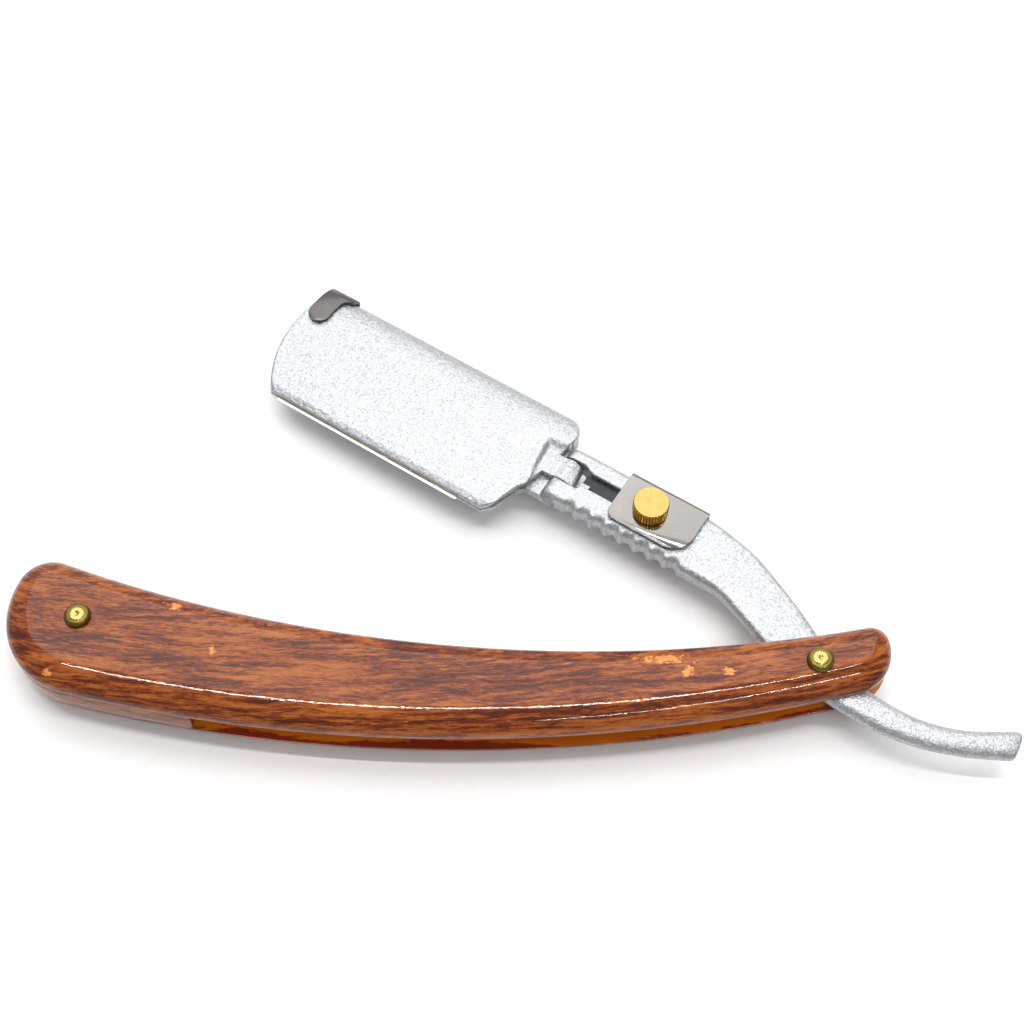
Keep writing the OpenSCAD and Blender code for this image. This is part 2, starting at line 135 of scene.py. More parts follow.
# Width and slope in degrees of each step from a scale's rounded edge up to its flat face
CREASE = ((0.10, 12.0), (0.15, 9.6), (0.18, 8.6), (0.22, 7.9), (0.15, 6.0), (0.10, 3.0))
LIP_WALL, BEVEL_SOFT = 0.72, 0.3
TOE_ROUND, HEEL_ROUND, LIP_ROUND = 0.6, 0.35, 0.12
LEAF_GAP = 0.08
BLADE_GRIND = 0.26
PIN_BORE_R = PIN_R + 0.02
SCREW_R, THREAD_R, THREAD_PITCH, SCREW_BORE_R, NECK_R = 1.0, 0.9, 0.25, 1.05, 1.9
RIVET_R, RIVET_BORE_R, RIVET_HEAD_R = 0.7, 0.72, 1.3
GROOVE, KNURL_POINTS = 0.24, 6
BRIDGE_X = (-56.6, -50.6)
SLIVER = 3e-6


# ---- Curves ----
def arc(centre, r, a0, a1, n):
    """Points on an arc, angles in degrees."""
    steps = [radians(a0 + (a1 - a0) * i / n) for i in range(n + 1)]
    return [(centre[0] + r * cos(a), centre[1] + r * sin(a)) for a in steps]


def turn(a, b):
    """Angle in degrees of the direction from a to b."""
    return degrees(atan2(b[1] - a[1], b[0] - a[0]))


def meet(c1, r1, c2, r2, side):
    """Where two circles cross, left of the line from c1 to c2 for side = 1."""
    dx, dy = c2[0] - c1[0], c2[1] - c1[1]
    d = hypot(dx, dy)
    a = (r1 * r1 - r2 * r2 + d * d) / (2 * d)
    h = side * sqrt(r1 * r1 - a * a)
    return c1[0] + (a * dx - h * dy) / d, c1[1] + (a * dy + h * dx) / d


def rectangle(x0, y0, x1, y1):
    return [(x0, y0), (x1, y0), (x1, y1), (x0, y1)]


def smooth_step(t):
    """0 up to t = 0, 1 from t = 1, smooth between."""
    t = min(max(t, 0), 1)
    return t * t * (3 - 2 * t)


def spaced(a, b, step):
    """Values from a to b, both included, about a step apart."""
    n = max(1, round(abs(b - a) / step))
    return [a + (b - a) * i / n for i in range(n + 1)]


def x_along(line, y):
    """x at y on a line through (y, x) points, level past its ends."""
    for (y0, x0), (y1, x1) in zip(line, line[1:]):
        if y <= y1:
            return x0 + (x1 - x0) * max(y - y0, 0) / (y1 - y0)
    return line[-1][1]


def edge_drop(d, r):
    """How far a rounded edge of radius r is below the face, d in from the edge."""
    return r - sqrt(r * r - (r - d) ** 2) if d < r else 0


def catmull_rom(rows, n):
    """Smooth curve through rows of numbers, n steps between two rows."""
    last = len(rows) - 1
    out = []
    for i in range(last):
        a, b, c, d = (rows[min(max(k, 0), last)] for k in (i - 1, i, i + 1, i + 2))
        for j in range(n):
            t = j / n
            row = []
            for p, q, r, s in zip(a, b, c, d):
                cubic = 3 * q - p - 3 * r + s
                square = 2 * p - 5 * q + 4 * r - s
                row.append(q + t * ((r - p) + t * (square + t * cubic)) / 2)
            out.append(row)
    return out + [list(rows[last])]


def inset(outline, d):
    """A closed anticlockwise outline moved in by d along its corners' mitres."""
    out = []
    n = len(outline)
    for i, (x, y) in enumerate(outline):
        x0, y0 = outline[i - 1]
        x1, y1 = outline[(i + 1) % n]
        a = hypot(x - x0, y - y0) or 1
        b = hypot(x1 - x, y1 - y) or 1
        na = (-(y - y0) / a, (x - x0) / a)
        nb = (-(y1 - y) / b, (x1 - x) / b)
        mx, my = na[0] + nb[0], na[1] + nb[1]
        k = 2 * d / max(mx * mx + my * my, 0.5)
        out.append((x + mx * k, y + my * k))
    return out


# ---- Meshes ----
def loft(rings):
    """Vertices and faces of a closed skin over rings with the same number of points."""
    n = len(rings[0])
    verts = [p for ring in rings for p in ring]
    faces = [
        (k * n + i, k * n + (i + 1) % n, (k + 1) * n + (i + 1) % n, (k + 1) * n + i)
        for k in range(len(rings) - 1)
        for i in range(n)
    ]
    last = (len(rings) - 1) * n
    faces += [tuple(reversed(range(n))), tuple(range(last, last + n))]
    return verts, faces


def lathe(profile, steps=64, at=(0, 0), axis="z"):
    """Solid of revolution of (radius, height) points.

    They are a loop, or a line that starts and ends at radius 0.
    """
    solid = profile[0][0] == 0
    inner = profile[1:-1] if solid else profile
    rings = []
    for k in range(steps):
        a = 2 * pi * k / steps
        rings.append([(r * cos(a), r * sin(a), h) for r, h in inner])
    m = len(inner)
    verts = [p for ring in rings for p in ring]
    faces = []
    for k in range(steps):
        a, b = k * m, (k + 1) % steps * m
        for i in range(m - 1 if solid else m):
            j = (i + 1) % m
            faces.append((a + i, b + i, b + j, a + j))
    if solid:
        verts += [(0, 0, profile[0][1]), (0, 0, profile[-1][1])]
        for k in range(steps):
            a, b = k * m, (k + 1) % steps * m
            faces.append((len(verts) - 2, b, a))
            faces.append((len(verts) - 1, a + m - 1, b + m - 1))
    if axis == "y":
        verts = [(at[0] + x, h, at[1] - y) for x, y, h in verts]
    else:
        verts = [(at[0] + x, at[1] + y, h) for x, y, h in verts]
    return verts, faces


def rod(r, z0, z1, at, axis="z", chamfer=0.0, steps=48):
    inner = r - chamfer
    profile = [(0, z0), (inner, z0), (r, z0 + chamfer), (r, z1 - chamfer), (inner, z1), (0, z1)]
    return lathe(profile, steps, at, axis)


def stack(outline, levels):
    """Solid over (height, inset) levels of an outline."""
    return loft([[(x, y, z) for x, y in inset(outline, d)] for z, d in levels])


def slab(outline, z0, z1, r, steps=4):
    """Plate between two heights with its edges rounded to radius r."""
    turns = [pi / 2 * i / steps for i in range(steps + 1)]
    levels = [(z0 + r - r * cos(a), r - r * sin(a)) for a in turns]
    levels += [(z1 - r + r * sin(a), r - r * cos(a)) for a in turns]
    return stack(outline, levels)


def build(name, shape, matrix):
    """Makes an object from vertices in millimetres, with its normals outward."""
    mesh = bpy.data.meshes.new(name)
    verts, faces = shape
    mesh.from_pydata([matrix @ Vector(v) for v in verts], [], faces)
    bm = bmesh.new()
    bm.from_mesh(mesh)
    bmesh.ops.remove_doubles(bm, verts=bm.verts, dist=1e-7)
    bmesh.ops.dissolve_degenerate(bm, edges=bm.edges, dist=1e-8)
    bmesh.ops.recalc_face_normals(bm, faces=bm.faces)
    bm.to_mesh(mesh)
    bm.free()
    obj = bpy.data.objects.new(name, mesh)
    bpy.context.scene.collection.objects.link(obj)
    return obj


def combine(obj, tool, how):
    """Applies a boolean with the tool object, which is then removed."""
    boolean = obj.modifiers.new("boolean", "BOOLEAN")
    boolean.operation = how
    boolean.solver = "EXACT"
    boolean.object = tool
    bpy.context.view_layer.update()
    graph = bpy.context.evaluated_depsgraph_get()
    mesh = bpy.data.meshes.new_from_object(obj.evaluated_get(graph))
    obj.modifiers.clear()
    old = obj.data
    obj.data = mesh
    bpy.data.meshes.remove(old)
    bpy.data.objects.remove(tool)


def cut(obj, shape, matrix):
    combine(obj, build("tool", shape, matrix), "DIFFERENCE")


def unite(obj, shape, matrix):
    combine(obj, build("tool", shape, matrix), "UNION")


def has_twin(face):
    """Whether another face lies on the same corners."""
    beside = [f for edge in face.edges for f in edge.link_faces if f is not face]
    return any(set(f.verts) == set(face.verts) for f in beside)


def close_up(obj):
    """Clears the slivers that booleans leave, so that the mesh is closed."""
    bm = bmesh.new()
    bm.from_mesh(obj.data)
    for _ in range(4):
        bmesh.ops.remove_doubles(bm, verts=bm.verts, dist=SLIVER)
        bmesh.ops.dissolve_degenerate(bm, edges=bm.edges, dist=SLIVER)
        bmesh.ops.triangulate(bm, faces=bm.faces)
        crowded = [e for e in bm.edges if len(e.link_faces) > 2]
        spare = dict.fromkeys(min(e.link_faces, key=lambda f: f.calc_area()) for e in crowded)
        bmesh.ops.delete(bm, geom=list(spare), context="FACES_ONLY")
        rims = [e for e in bm.edges if len(e.link_faces) == 1]
        bmesh.ops.holes_fill(bm, edges=rims, sides=0)
        bmesh.ops.triangulate(bm, faces=bm.faces)
    bmesh.ops.delete(bm, geom=[f for f in bm.faces if has_twin(f)], context="FACES")
    bmesh.ops.delete(bm, geom=[e for e in bm.edges if not e.link_faces], context="EDGES")
    bmesh.ops.delete(bm, geom=[v for v in bm.verts if not v.link_faces], context="VERTS")
    bm.to_mesh(obj.data)
    bm.free()


def finish_piece(obj, body, node, material, angle=32):
    """Shades the piece, gives it its material and stands it in for its CAD node."""
    close_up(obj)
    obj.name = obj.data.name = node + "_look"
    obj.data.materials.clear()
    for m in material if isinstance(material, list) else [material]:
        obj.data.materials.append(m)
    for polygon in obj.data.polygons:
        polygon.use_smooth = True
    obj.data.set_sharp_from_angle(angle=radians(angle))
    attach(obj, body)
    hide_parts(node)


def simple_piece(shape, matrix, body, node, material):
    finish_piece(build(node, shape, matrix), body, node, material)


# ---- Material nodes ----
class Shader:
    """Short way to write a material's node tree."""

    def __init__(self, name, **constants):
        self.material = bpy.data.materials.new(name)
        self.material.use_nodes = True
        self.tree = self.material.node_tree
        self.bsdf = self.tree.nodes["Principled BSDF"]
        self.coords = self.add("TexCoord").outputs["Object"]
        for key, value in constants.items():
            self.bsdf.inputs[key.replace("_", " ")].default_value = value

    def add(self, kind, inputs=None, **settings):
        node = self.tree.nodes.new("ShaderNode" + kind)
        for key, value in settings.items():
            setattr(node, key, value)
        for key, value in (inputs or {}).items():
            self.put(node.inputs[key], value)
        return node

    def put(self, socket, value):
        if isinstance(value, bpy.types.NodeSocket):
            self.tree.links.new(value, socket)
        else:
            socket.default_value = value

    def out(self, name, value):
        self.put(self.bsdf.inputs[name], value)

    def stretch(self, x, y, z):
        """Coordinates in millimetres times a factor along each axis."""
        return self.vector("MULTIPLY", self.coords, (x / MM, y / MM, z / MM))

    def vector(self, how, a, b=(0, 0, 0)):
        return self.add("VectorMath", {0: a, 1: b}, operation=how).outputs[0]

    def away(self, x, y, z):
        """Coordinates from a point given in millimetres."""
        return self.vector("SUBTRACT", self.coords, (x * MM, y * MM, z * MM))

    def split(self, vector):
        return self.add("SeparateXYZ", {"Vector": vector}).outputs

    def distance(self, x, y):
        """Length of a step of x and y."""
        squares = self.math("MULTIPLY", x, x), self.math("MULTIPLY", y, y)
        return self.math("SQRT", self.math("ADD", *squares))

    def noise(self, vector, detail=3.0, rough=0.5, distortion=0.0):
        node = self.add("TexNoise", {
            "Vector": vector, "Scale": 1.0, "Detail": detail,
            "Roughness": rough, "Distortion": distortion,
        })
        return node.outputs["Fac"]

    def ramp(self, value, *stops):
        """Maps a value to colours; a stop is (place, grey or colour)."""
        node = self.add("ValToRGB", {"Fac": value})
        elements = node.color_ramp.elements
        while len(elements) < len(stops):
            elements.new(0.5)
        for element, (place, colour) in zip(elements, stops):
            element.position = place
            element.color = colour if isinstance(colour, tuple) else (colour, colour, colour, 1)
        return node.outputs["Color"]

    def mix(self, factor, a, b):
        node = self.add("Mix", data_type="RGBA")
        self.put(node.inputs[0], factor)
        self.put(node.inputs[6], a)
        self.put(node.inputs[7], b)
        return node.outputs[2]

    def math(self, how, a, b=0.0, c=0.0, clamp=False):
        node = self.add("Math", operation=how, use_clamp=clamp)
        for socket, value in zip(node.inputs, (a, b, c)):
            self.put(socket, value)
        return node.outputs[0]

    def bump(self, height, depth, under=None):
        """Normal from a height between 0 and 1, depth in millimetres."""
        inputs = {"Height": height, "Distance": depth * MM}
        if under is not None:
            inputs["Normal"] = under
        return self.add("Bump", inputs).outputs["Normal"]


def rgb(r, g, b):
    """Linear colour from 0 to 255 screen values."""
    def linear(v):
        v /= 255
        return v / 12.92 if v <= 0.04045 else ((v + 0.055) / 1.055) ** 2.4
    return linear(r), linear(g), linear(b), 1.0


# ---- Materials ----
GRAIN_X, GRAIN_R, GRAIN_LEAN = -97, 430, 0.9
WOOD_STOPS = (0.428, 0.473, 0.515, 0.58)
BARE_WOOD = (222, 140, 66)
# Centre and reach of each spot where the lacquer is chipped, in millimetres
WORN_SPOTS = (((-23.6, -1.0, 11), (6.5, 1.5, 3)), ((-20, -3.1, 11), (1.4, 1.6, 3)),
              ((-13.9, -2.7, 11), (1.8, 1.1, 3)), ((-99.6, 2.9, 11), (2.6, 1.2, 3)),
              ((-117, -9.3, 10), (1.2, 0.9, 3)), ((-92.5, -4.3, 11), (0.9, 1.5, 3)))


def grain_coords(s):
    """Coordinates in mm that follow the slightly bowed grain: x along it, y across it."""
    x, y, z = s.split(s.away(GRAIN_X, GRAIN_R, 0))
    angle = s.math("ARCTAN2", x, s.math("MULTIPLY", y, -1.0))
    lean = s.math("MULTIPLY", z, GRAIN_LEAN / MM)
    combined = s.add("CombineXYZ", {
        0: s.math("MULTIPLY", angle, GRAIN_R),
        1: s.math("MULTIPLY_ADD", s.distance(x, y), -1 / MM, lean),
        2: s.math("MULTIPLY", z, 1 / MM),
    })
    return combined.outputs[0]


def worn_mask(s):
    """Ragged flecks where the stain is knocked off, only inside the worn spots."""
    near = None
    for centre, reach in WORN_SPOTS:
        share = s.vector("MULTIPLY", s.away(*centre), tuple(1 / (r * MM) for r in reach))
        length = s.add("VectorMath", {0: share}, operation="LENGTH").outputs["Value"]
        inside = s.math("SUBTRACT", 1.0, length, clamp=True)
        near = inside if near is None else s.math("MAXIMUM", near, inside)
    flecks = s.noise(s.stretch(0.8, 1.5, 1.0), detail=5, rough=0.75)
    height = s.math("MULTIPLY_ADD", near, 0.34, flecks)
    return s.ramp(height, (0.69, 0.0), (0.71, 1.0))


def wavy_grain(s):
    """Grain coordinates pushed sideways by slow waves and small ripples."""
    grain = grain_coords(s)
    waves = s.noise(s.vector("MULTIPLY", grain, (0.04, 0.09, 0.1)), detail=2)
    ripples = s.noise(s.vector("MULTIPLY", grain, (0.3, 0.5, 0.5)), detail=2)
    push = s.math("MULTIPLY_ADD", waves, 2.6, s.math("MULTIPLY", ripples, 0.55))
    return s.vector("ADD", grain, s.add("CombineXYZ", {1: push}).outputs[0])


def wood_material(name, tones, chipped):
    """Lacquered wood; tones are screen colours from dark to light."""
    s = Shader(name, Roughness=0.45, Specular_IOR_Level=0.05, Coat_Weight=1.0, Coat_Roughness=0.03,
               Coat_IOR=1.4)
    wavy = wavy_grain(s)
    broad = s.noise(s.vector("MULTIPLY", wavy, (0.025, 0.28, 0.2)), detail=2)
    streaks = s.noise(s.vector("MULTIPLY", wavy, (0.14, 1.25, 0.6)), 6, 0.7, 0.2)
    strokes = s.noise(s.vector("MULTIPLY", wavy, (0.7, 4.6, 2.0)), 3, 0.65, 0.5)
    value = s.math("MULTIPLY_ADD", broad, 0.18, s.math("MULTIPLY", streaks, 0.52))
    value = s.math("MULTIPLY_ADD", strokes, 0.30, value)
    tone = s.ramp(value, *[(stop, rgb(*colour)) for stop, colour in zip(WOOD_STOPS, tones)])
    if chipped:
        tone = s.mix(worn_mask(s), tone, rgb(*BARE_WOOD))
    s.out("Base Color", tone)
    s.out("Normal", s.bump(streaks, 0.01))
    ripple = s.noise(s.stretch(0.3, 0.8, 0.8), detail=2)
    fine = s.noise(s.stretch(1.8, 3.4, 3.4), detail=2)
    s.out("Coat Normal", s.bump(s.mix(0.25, ripple, fine), 0.016))
    return s.material


def inner_wood_material():
    """Unstained inner face of a scale, with stain that ran over its border."""
    s = Shader("inner_wood", Roughness=0.5, Specular_IOR_Level=0.2, Coat_Weight=0.5,
               Coat_Roughness=0.15)
    x, y, _ = s.split(s.away(LOW_X, LOW_Y + LOW_R, 0))
    depth = s.math("MULTIPLY_ADD", s.distance(x, y), -1 / MM, LOW_R)
    ragged = s.noise(s.stretch(0.12, 0.5, 0.5), detail=5, rough=0.7)
    patches = s.noise(s.stretch(0.04, 0.04, 0.04), detail=1)
    border = s.math("MULTIPLY_ADD", ragged, 4.6, s.math("MULTIPLY_ADD", patches, 6.0, -5.0))
    stain = s.math("MULTIPLY_ADD", s.math("SUBTRACT", border, depth), 2.5, 0.5, clamp=True)
    blotch = s.noise(s.stretch(0.05, 0.3, 0.3), detail=4, rough=0.6)
    tone = s.ramp(blotch, (0.35, rgb(186, 98, 4)), (0.65, rgb(206, 118, 14)))
    s.out("Base Color", s.mix(stain, tone, rgb(132, 40, 6)))
    s.out("Normal", s.bump(ragged, 0.02))
    return s.material


def silver_material():
    """Silver metallic paint with an orange-peel skin and sparkling flakes."""
    s = Shader("silver_paint", Metallic=0.92, Coat_Weight=0.2, Coat_Roughness=0.3)
    cells = s.add("TexVoronoi", {"Vector": s.stretch(5.0, 5.0, 5.0), "Scale": 1.0})
    flake = s.add("SeparateColor", {"Color": cells.outputs["Color"]})
    shade, shine, _ = flake.outputs
    grain = s.noise(s.stretch(3.2, 3.2, 3.2), detail=2)
    cloud = s.noise(s.stretch(0.3, 0.3, 0.3), detail=3)
    tone = s.ramp(shade, (0.0, rgb(146, 150, 155)), (0.3, rgb(173, 175, 177)),
                  (1.0, rgb(195, 196, 197)))
    tone = s.mix(s.ramp(grain, (0.54, 0.0), (0.70, 0.6)), tone, rgb(130, 136, 144))
    tone = s.mix(s.ramp(cloud, (0.35, 0.2), (0.65, 0.0)), tone, rgb(156, 160, 166))
    s.out("Base Color", tone)
    s.out("Roughness", s.ramp(shine, (0.0, 0.3), (1.0, 0.5)))
    peel = s.noise(s.stretch(1.3, 1.3, 1.3), detail=3, rough=0.6)
    grit = s.noise(s.stretch(4.5, 4.5, 4.5), detail=2, rough=0.6)
    s.out("Normal", s.bump(grit, 0.05, s.bump(peel, 0.2)))
    return s.material


def metal_material(name, colour, tint, rough, brushed, relief, metallic=1.0):
    """Bare or plated metal; brushed is how its wear marks are squeezed along each axis, per mm."""
    colour, tint = rgb(*colour), rgb(*tint)
    s = Shader(name, Metallic=metallic)
    lines = s.noise(s.stretch(*brushed), detail=4, rough=0.65)
    blotch = s.noise(s.stretch(0.5, 0.5, 0.5), detail=3)
    tone = s.mix(s.ramp(lines, (0.35, 0.0), (0.75, 0.35)), colour, tint)
    s.out("Base Color", s.mix(s.ramp(blotch, (0.4, 0.25), (0.7, 0.0)), tone, tint))
    s.out("Roughness", s.ramp(lines, (0.25, rough * 0.75), (0.8, rough * 1.3)))
    s.out("Normal", s.bump(lines, relief))
    return s.material


LACQUERED_TONES = ((70, 21, 3), (103, 40, 7), (137, 65, 15), (166, 93, 34))
SPACER_TONES = ((84, 40, 16), (112, 58, 26), (140, 80, 40), (162, 100, 56))
WOOD = wood_material("lacquered_wood", LACQUERED_TONES, True)
SPACER = wood_material("spacer_wood", SPACER_TONES, False)
INNER = inner_wood_material()
SILVER = silver_material()
# The knob is one brass piece in three golds. Its top's gold is darkened against the strong light
# that it reflects, its wall gets a brighter gold (painted light), and its knurls' grooves get a
# darker gold (painted shade).
GOLD = metal_material("gold", (176, 157, 97), (150, 120, 52), 0.2, (3.0, 0.9, 0.9), 0.07)
GOLD_SIDE_PAINTED_LIGHT = metal_material("gold_side_painted_light", (250, 196, 70), (226, 158, 40), 0.2, (3, 3, 3), 0.03, 0.6)
GOLD_GROOVE_PAINTED_SHADE = metal_material("gold_groove_painted_shade", (170, 104, 20), (110, 58, 8), 0.3, (3, 3, 3), 0.01)
# The collars get a darker, olive copy of the pins' brass: painted shade on their domes. The pins'
# lighter brass stands in for the highlight on their flat ends.
PIN_BRASS = metal_material("pin_brass", (196, 174, 110), (146, 116, 52), 0.22, (2, 2, 2), 0.04)
COLLAR_BRASS_PAINTED_SHADE = metal_material("collar_brass", (122, 106, 52), (78, 64, 24), 0.33, (2, 2, 2), 0.04)
SLIDER_STEEL = metal_material("slider_steel", (136, 134, 131), (122, 119, 116), 0.13,
                              (0.8, 4.0, 4.0), 0.0015)
CLIP_STEEL = metal_material("clip_steel", (98, 96, 95), (82, 80, 79), 0.3, (3.0, 0.8, 0.8), 0.006)
# The tongue's steel is darkened past bare steel so that it stands in for the shade down in the
# grip's slot: partly its own darker steel, partly painted shade.
DARK_STEEL_PAINTED_SHADE = metal_material("dark_steel", (62, 64, 67), (44, 46, 49), 0.42, (1.0, 4.0, 4.0), 0.01)
PIN_STEEL = metal_material("hinge_pin_steel", (150, 152, 156), (120, 122, 127), 0.35,
                           (2, 2, 2), 0.01)
BLADE_STEEL = metal_material("blade_steel", (190, 182, 166), (168, 160, 142), 0.24,
                             (0.5, 9.0, 9.0), 0.002)
# The ground strip along the edge gets a near-white steel: partly its brighter ground finish, partly
# a painted highlight.
BLADE_GROUND_PAINTED_HIGHLIGHT = metal_material("blade_ground_painted_highlight", (248, 246, 240), (226, 222, 212), 0.2,
                              (9.0, 0.8, 0.8), 0.002)


# ---- Handle ----
def handle_outline(step, e=0.0):
    """Outline of a scale moved in by e: two long arcs, a large and a small round at each end."""
    low_c = (LOW_X, LOW_Y + step + LOW_R)
    high_c = (HIGH_X, HIGH_Y + HIGH_R)
    butt_cx, tip_cx = BUTT_X + BUTT_R, TIP_X - TIP_R
    butt_c = (butt_cx, low_c[1] - sqrt((LOW_R - BUTT_R) ** 2 - (butt_cx - LOW_X) ** 2))
    tip_c = (tip_cx, low_c[1] - sqrt((LOW_R - TIP_R) ** 2 - (tip_cx - LOW_X) ** 2))
    butt_k = max(BUTT_CORNER_R - e, MIN_CORNER_R)
    tip_k = max(TIP_CORNER_R - e, MIN_CORNER_R)
    butt_s = meet(butt_c, BUTT_R - e - butt_k, high_c, HIGH_R + e + butt_k, 1)
    tip_s = meet(tip_c, TIP_R - e - tip_k, high_c, HIGH_R + e + tip_k, -1)
    a_low_tip, a_low_butt = turn(low_c, tip_c), turn(low_c, butt_c)
    a_tip, a_butt = turn(tip_c, tip_s), turn(butt_c, butt_s)
    a_high_tip, a_high_butt = turn(high_c, tip_s), turn(high_c, butt_s)
    return (
        arc(low_c, LOW_R - e, a_low_butt, a_low_tip, 100)
        + arc(tip_c, TIP_R - e, a_low_tip, a_tip, 26)[1:]
        + arc(tip_s, tip_k, a_tip, a_high_tip + 180, 20)[1:]
        + arc(high_c, HIGH_R + e, a_high_tip, a_high_butt, 100)[1:]
        + arc(butt_s, butt_k, a_high_butt + 180, a_butt, 24)[1:]
        + arc(butt_c, BUTT_R - e, a_butt, a_low_butt + 360, 40)[1:-1]
    )


def scale_levels():
    """(height, inset) of the rings of a scale, from its inner to its outer face."""
    r = SCALE_INNER_R
    levels = [(r * (1 - cos(a)), r * (1 - sin(a))) for a in (0, pi / 6, pi / 3, pi / 2)]
    steps = 16
    low = SCALE_T - EDGE_H - sum(w * tan(radians(a)) for w, a in CREASE)
    for i in range(steps + 1):
        a = EDGE_TURN * i / steps
        levels.append((low + EDGE_H * sin(a) / sin(EDGE_TURN),
                       EDGE_INSET * (1 - cos(a)) / (1 - cos(EDGE_TURN))))
    for w, a in CREASE:
        z, d = levels[-1]
        levels.append((z + w * tan(radians(a)), d + w))
    return levels


def add_scale(node, step, matrix):
    rings = [[(x, y, z) for x, y in handle_outline(step, d)] for z, d in scale_levels()]
    obj = build(node, loft(rings), matrix)
    for x in (0, -PIN_PITCH):
        cut(obj, rod(PIN_BORE_R, -3, 9, (x, 0), steps=40), matrix)
    finish_piece(obj, "handle", node, [WOOD, INNER], 40)
    inner_z = matrix.translation.z
    for polygon in obj.data.polygons:
        level = abs(polygon.center.z - inner_z) < SCALE_INNER_R * MM
        flat = level and abs(polygon.normal.z) > 0.99
        polygon.material_index = 1 if flat else 0


def spacer_outline():
    """The handle's outline at the butt, cut straight and by the arc that the toe swings on."""
    outline = handle_outline(BACK_STEP / 2)
    kept = [p for p in outline if p[0] < SPACER_X and (p[1] < SWING_Y or hypot(*p) > SWING_R)]
    gap = 4
    first = next(i for i in range(1, len(kept))
                 if hypot(kept[i][0] - kept[i - 1][0], kept[i][1] - kept[i - 1][1]) > gap)
    bottom, top = kept[:first], kept[first:]
    swing_a = degrees(atan2(SWING_Y, -sqrt(SWING_R**2 - SWING_Y**2)))
    top_a = degrees(atan2(top[0][1], top[0][0]))
    corner = [(SPACER_X, bottom[-1][1] + 0.05), (SPACER_X, SWING_Y)]
    return bottom + corner + arc((0, 0), SWING_R, swing_a % 360, top_a % 360, 10) + top


def add_spacer():
    half = GAP_HALF - 0.01
    verts, faces = slab(spacer_outline(), MID_Z - half, MID_Z + half, 0.03, 2)
    # Sanded flush: its wall leans from the front scale's edge to the back scale's
    lean = -BACK_STEP / 2 / GAP_HALF
    verts = [(x, y + lean * (z - MID_Z) * smooth_step((2 - y) / 10), z) for x, y, z in verts]
    obj = build("butt_spacer", (verts, faces), ROW)
    cut(obj, rod(PIN_BORE_R, -3, 20, (-PIN_PITCH, 0), steps=40), ROW)
    finish_piece(obj, "handle", "butt_spacer", SPACER)


def collar_shape():
    """Domed collar standing on z = 0, its bore on the pin."""
    inner = PIN_BORE_R
    wall = 0.2
    profile = [(inner, 0), (COLLAR_R - 0.12, 0), (COLLAR_R - 0.02, 0.08), (COLLAR_R, wall)]
    for i in range(1, 11):
        a = radians(90 * i / 11)
        r = inner + (COLLAR_R - inner) * cos(a) ** 0.8
        profile.append((r, wall + (COLLAR_H - wall) * sin(a)))
    profile.append((inner, COLLAR_H))
    return lathe(profile, 72)


def dented(shape, size, depth, seed):
    """Moves the vertices a little, as hammering does."""
    verts, faces = shape
    out = []
    for v in verts:
        spot = Vector(v) / size + Vector((seed, 0, 0))
        across, along = (noise.noise(spot + Vector((0, 0, far))) * depth for far in (0, 50))
        out.append((v[0] + across, v[1] + along, v[2]))
    return out, faces


def pin_shape(seed):
    """Peened pin: flat behind, in front a slightly domed end with a punched dimple."""
    top = TOP_Z + 0.14
    profile = [(0, 0), (PIN_R - 0.08, 0), (PIN_R, 0.08), (PIN_R, TOP_Z),
               (PIN_R - 0.08, TOP_Z + 0.05), (PIN_R - 0.3, top - 0.02), (0.62, top),
               (0.42, top - 0.02), (0.3, top - 0.09), (0.15, top - 0.17), (0, top - 0.19)]
    return dented(lathe(profile, 56), 0.7, 0.05, seed)


def add_rivets():
    for index, (name, x) in enumerate((("butt", -PIN_PITCH), ("pivot", 0))):
        at = Matrix.Translation((x * MM, 0, 0)) @ ROW
        front = at @ Matrix.Translation((0, 0, TOP_Z - COLLAR_H))
        back = at @ Matrix.Translation((0, 0, COLLAR_H)) @ Matrix.Diagonal((1, 1, -1, 1))
        # The collars take the darker brass, which paints shade on their domes.
        collar = dented(collar_shape(), 1.1, 0.05, 3 * index + 1)
        for side, place in (("_front", front), ("_back", back)):
            node = name + side + "_collar"
            simple_piece(collar, place, "handle", node, COLLAR_BRASS_PAINTED_SHADE)
        simple_piece(pin_shape(5 * index + 2), at, "handle", name + "_pin", PIN_BRASS)


def add_washers():
    c = 0.05
    back_z, front_z = MID_Z - GAP_HALF, MID_Z + GAP_HALF - WASHER_T
    for node, low in (("front_washer", front_z), ("back_washer", back_z)):
        top = low + WASHER_T
        profile = [(PIN_BORE_R, low), (WASHER_R - c, low), (WASHER_R, low + c),
                   (WASHER_R, top - c), (WASHER_R - c, top), (PIN_BORE_R, top)]
        simple_piece(lathe(profile, 64), ROW, "handle", node, PIN_BRASS)


# ---- Head ----
def face_z(y):
    """Height of a leaf's flat face over the blade's plane."""
    y0 = HEAD_LOW + BEVEL_W
    return LIP_H + (y - y0) / (SPINE_FLAT_Y - y0) * (SPINE_H - LIP_H)


def leaf_z(y, low):
    """Height of a leaf's outer face over the blade's plane."""
    past = y - low - BEVEL_W
    bevel_slope = (face_z(low + BEVEL_W) - LIP_WALL) / BEVEL_W
    face_slope = face_z(1) - face_z(0)
    if past < -BEVEL_SOFT:
        return LIP_WALL + (past + BEVEL_W) * bevel_slope
    if past < BEVEL_SOFT:
        bent = (face_slope - bevel_slope) * (past + BEVEL_SOFT) ** 2 / (4 * BEVEL_SOFT)
        return LIP_WALL + (past + BEVEL_W) * bevel_slope + bent
    if y < SPINE_FLAT_Y:
        return face_z(y)
    across = min((y - SPINE_FLAT_Y) / (SPINE_Y - SPINE_FLAT_Y), 1)
    return SPINE_H * sqrt(1 - across * across)



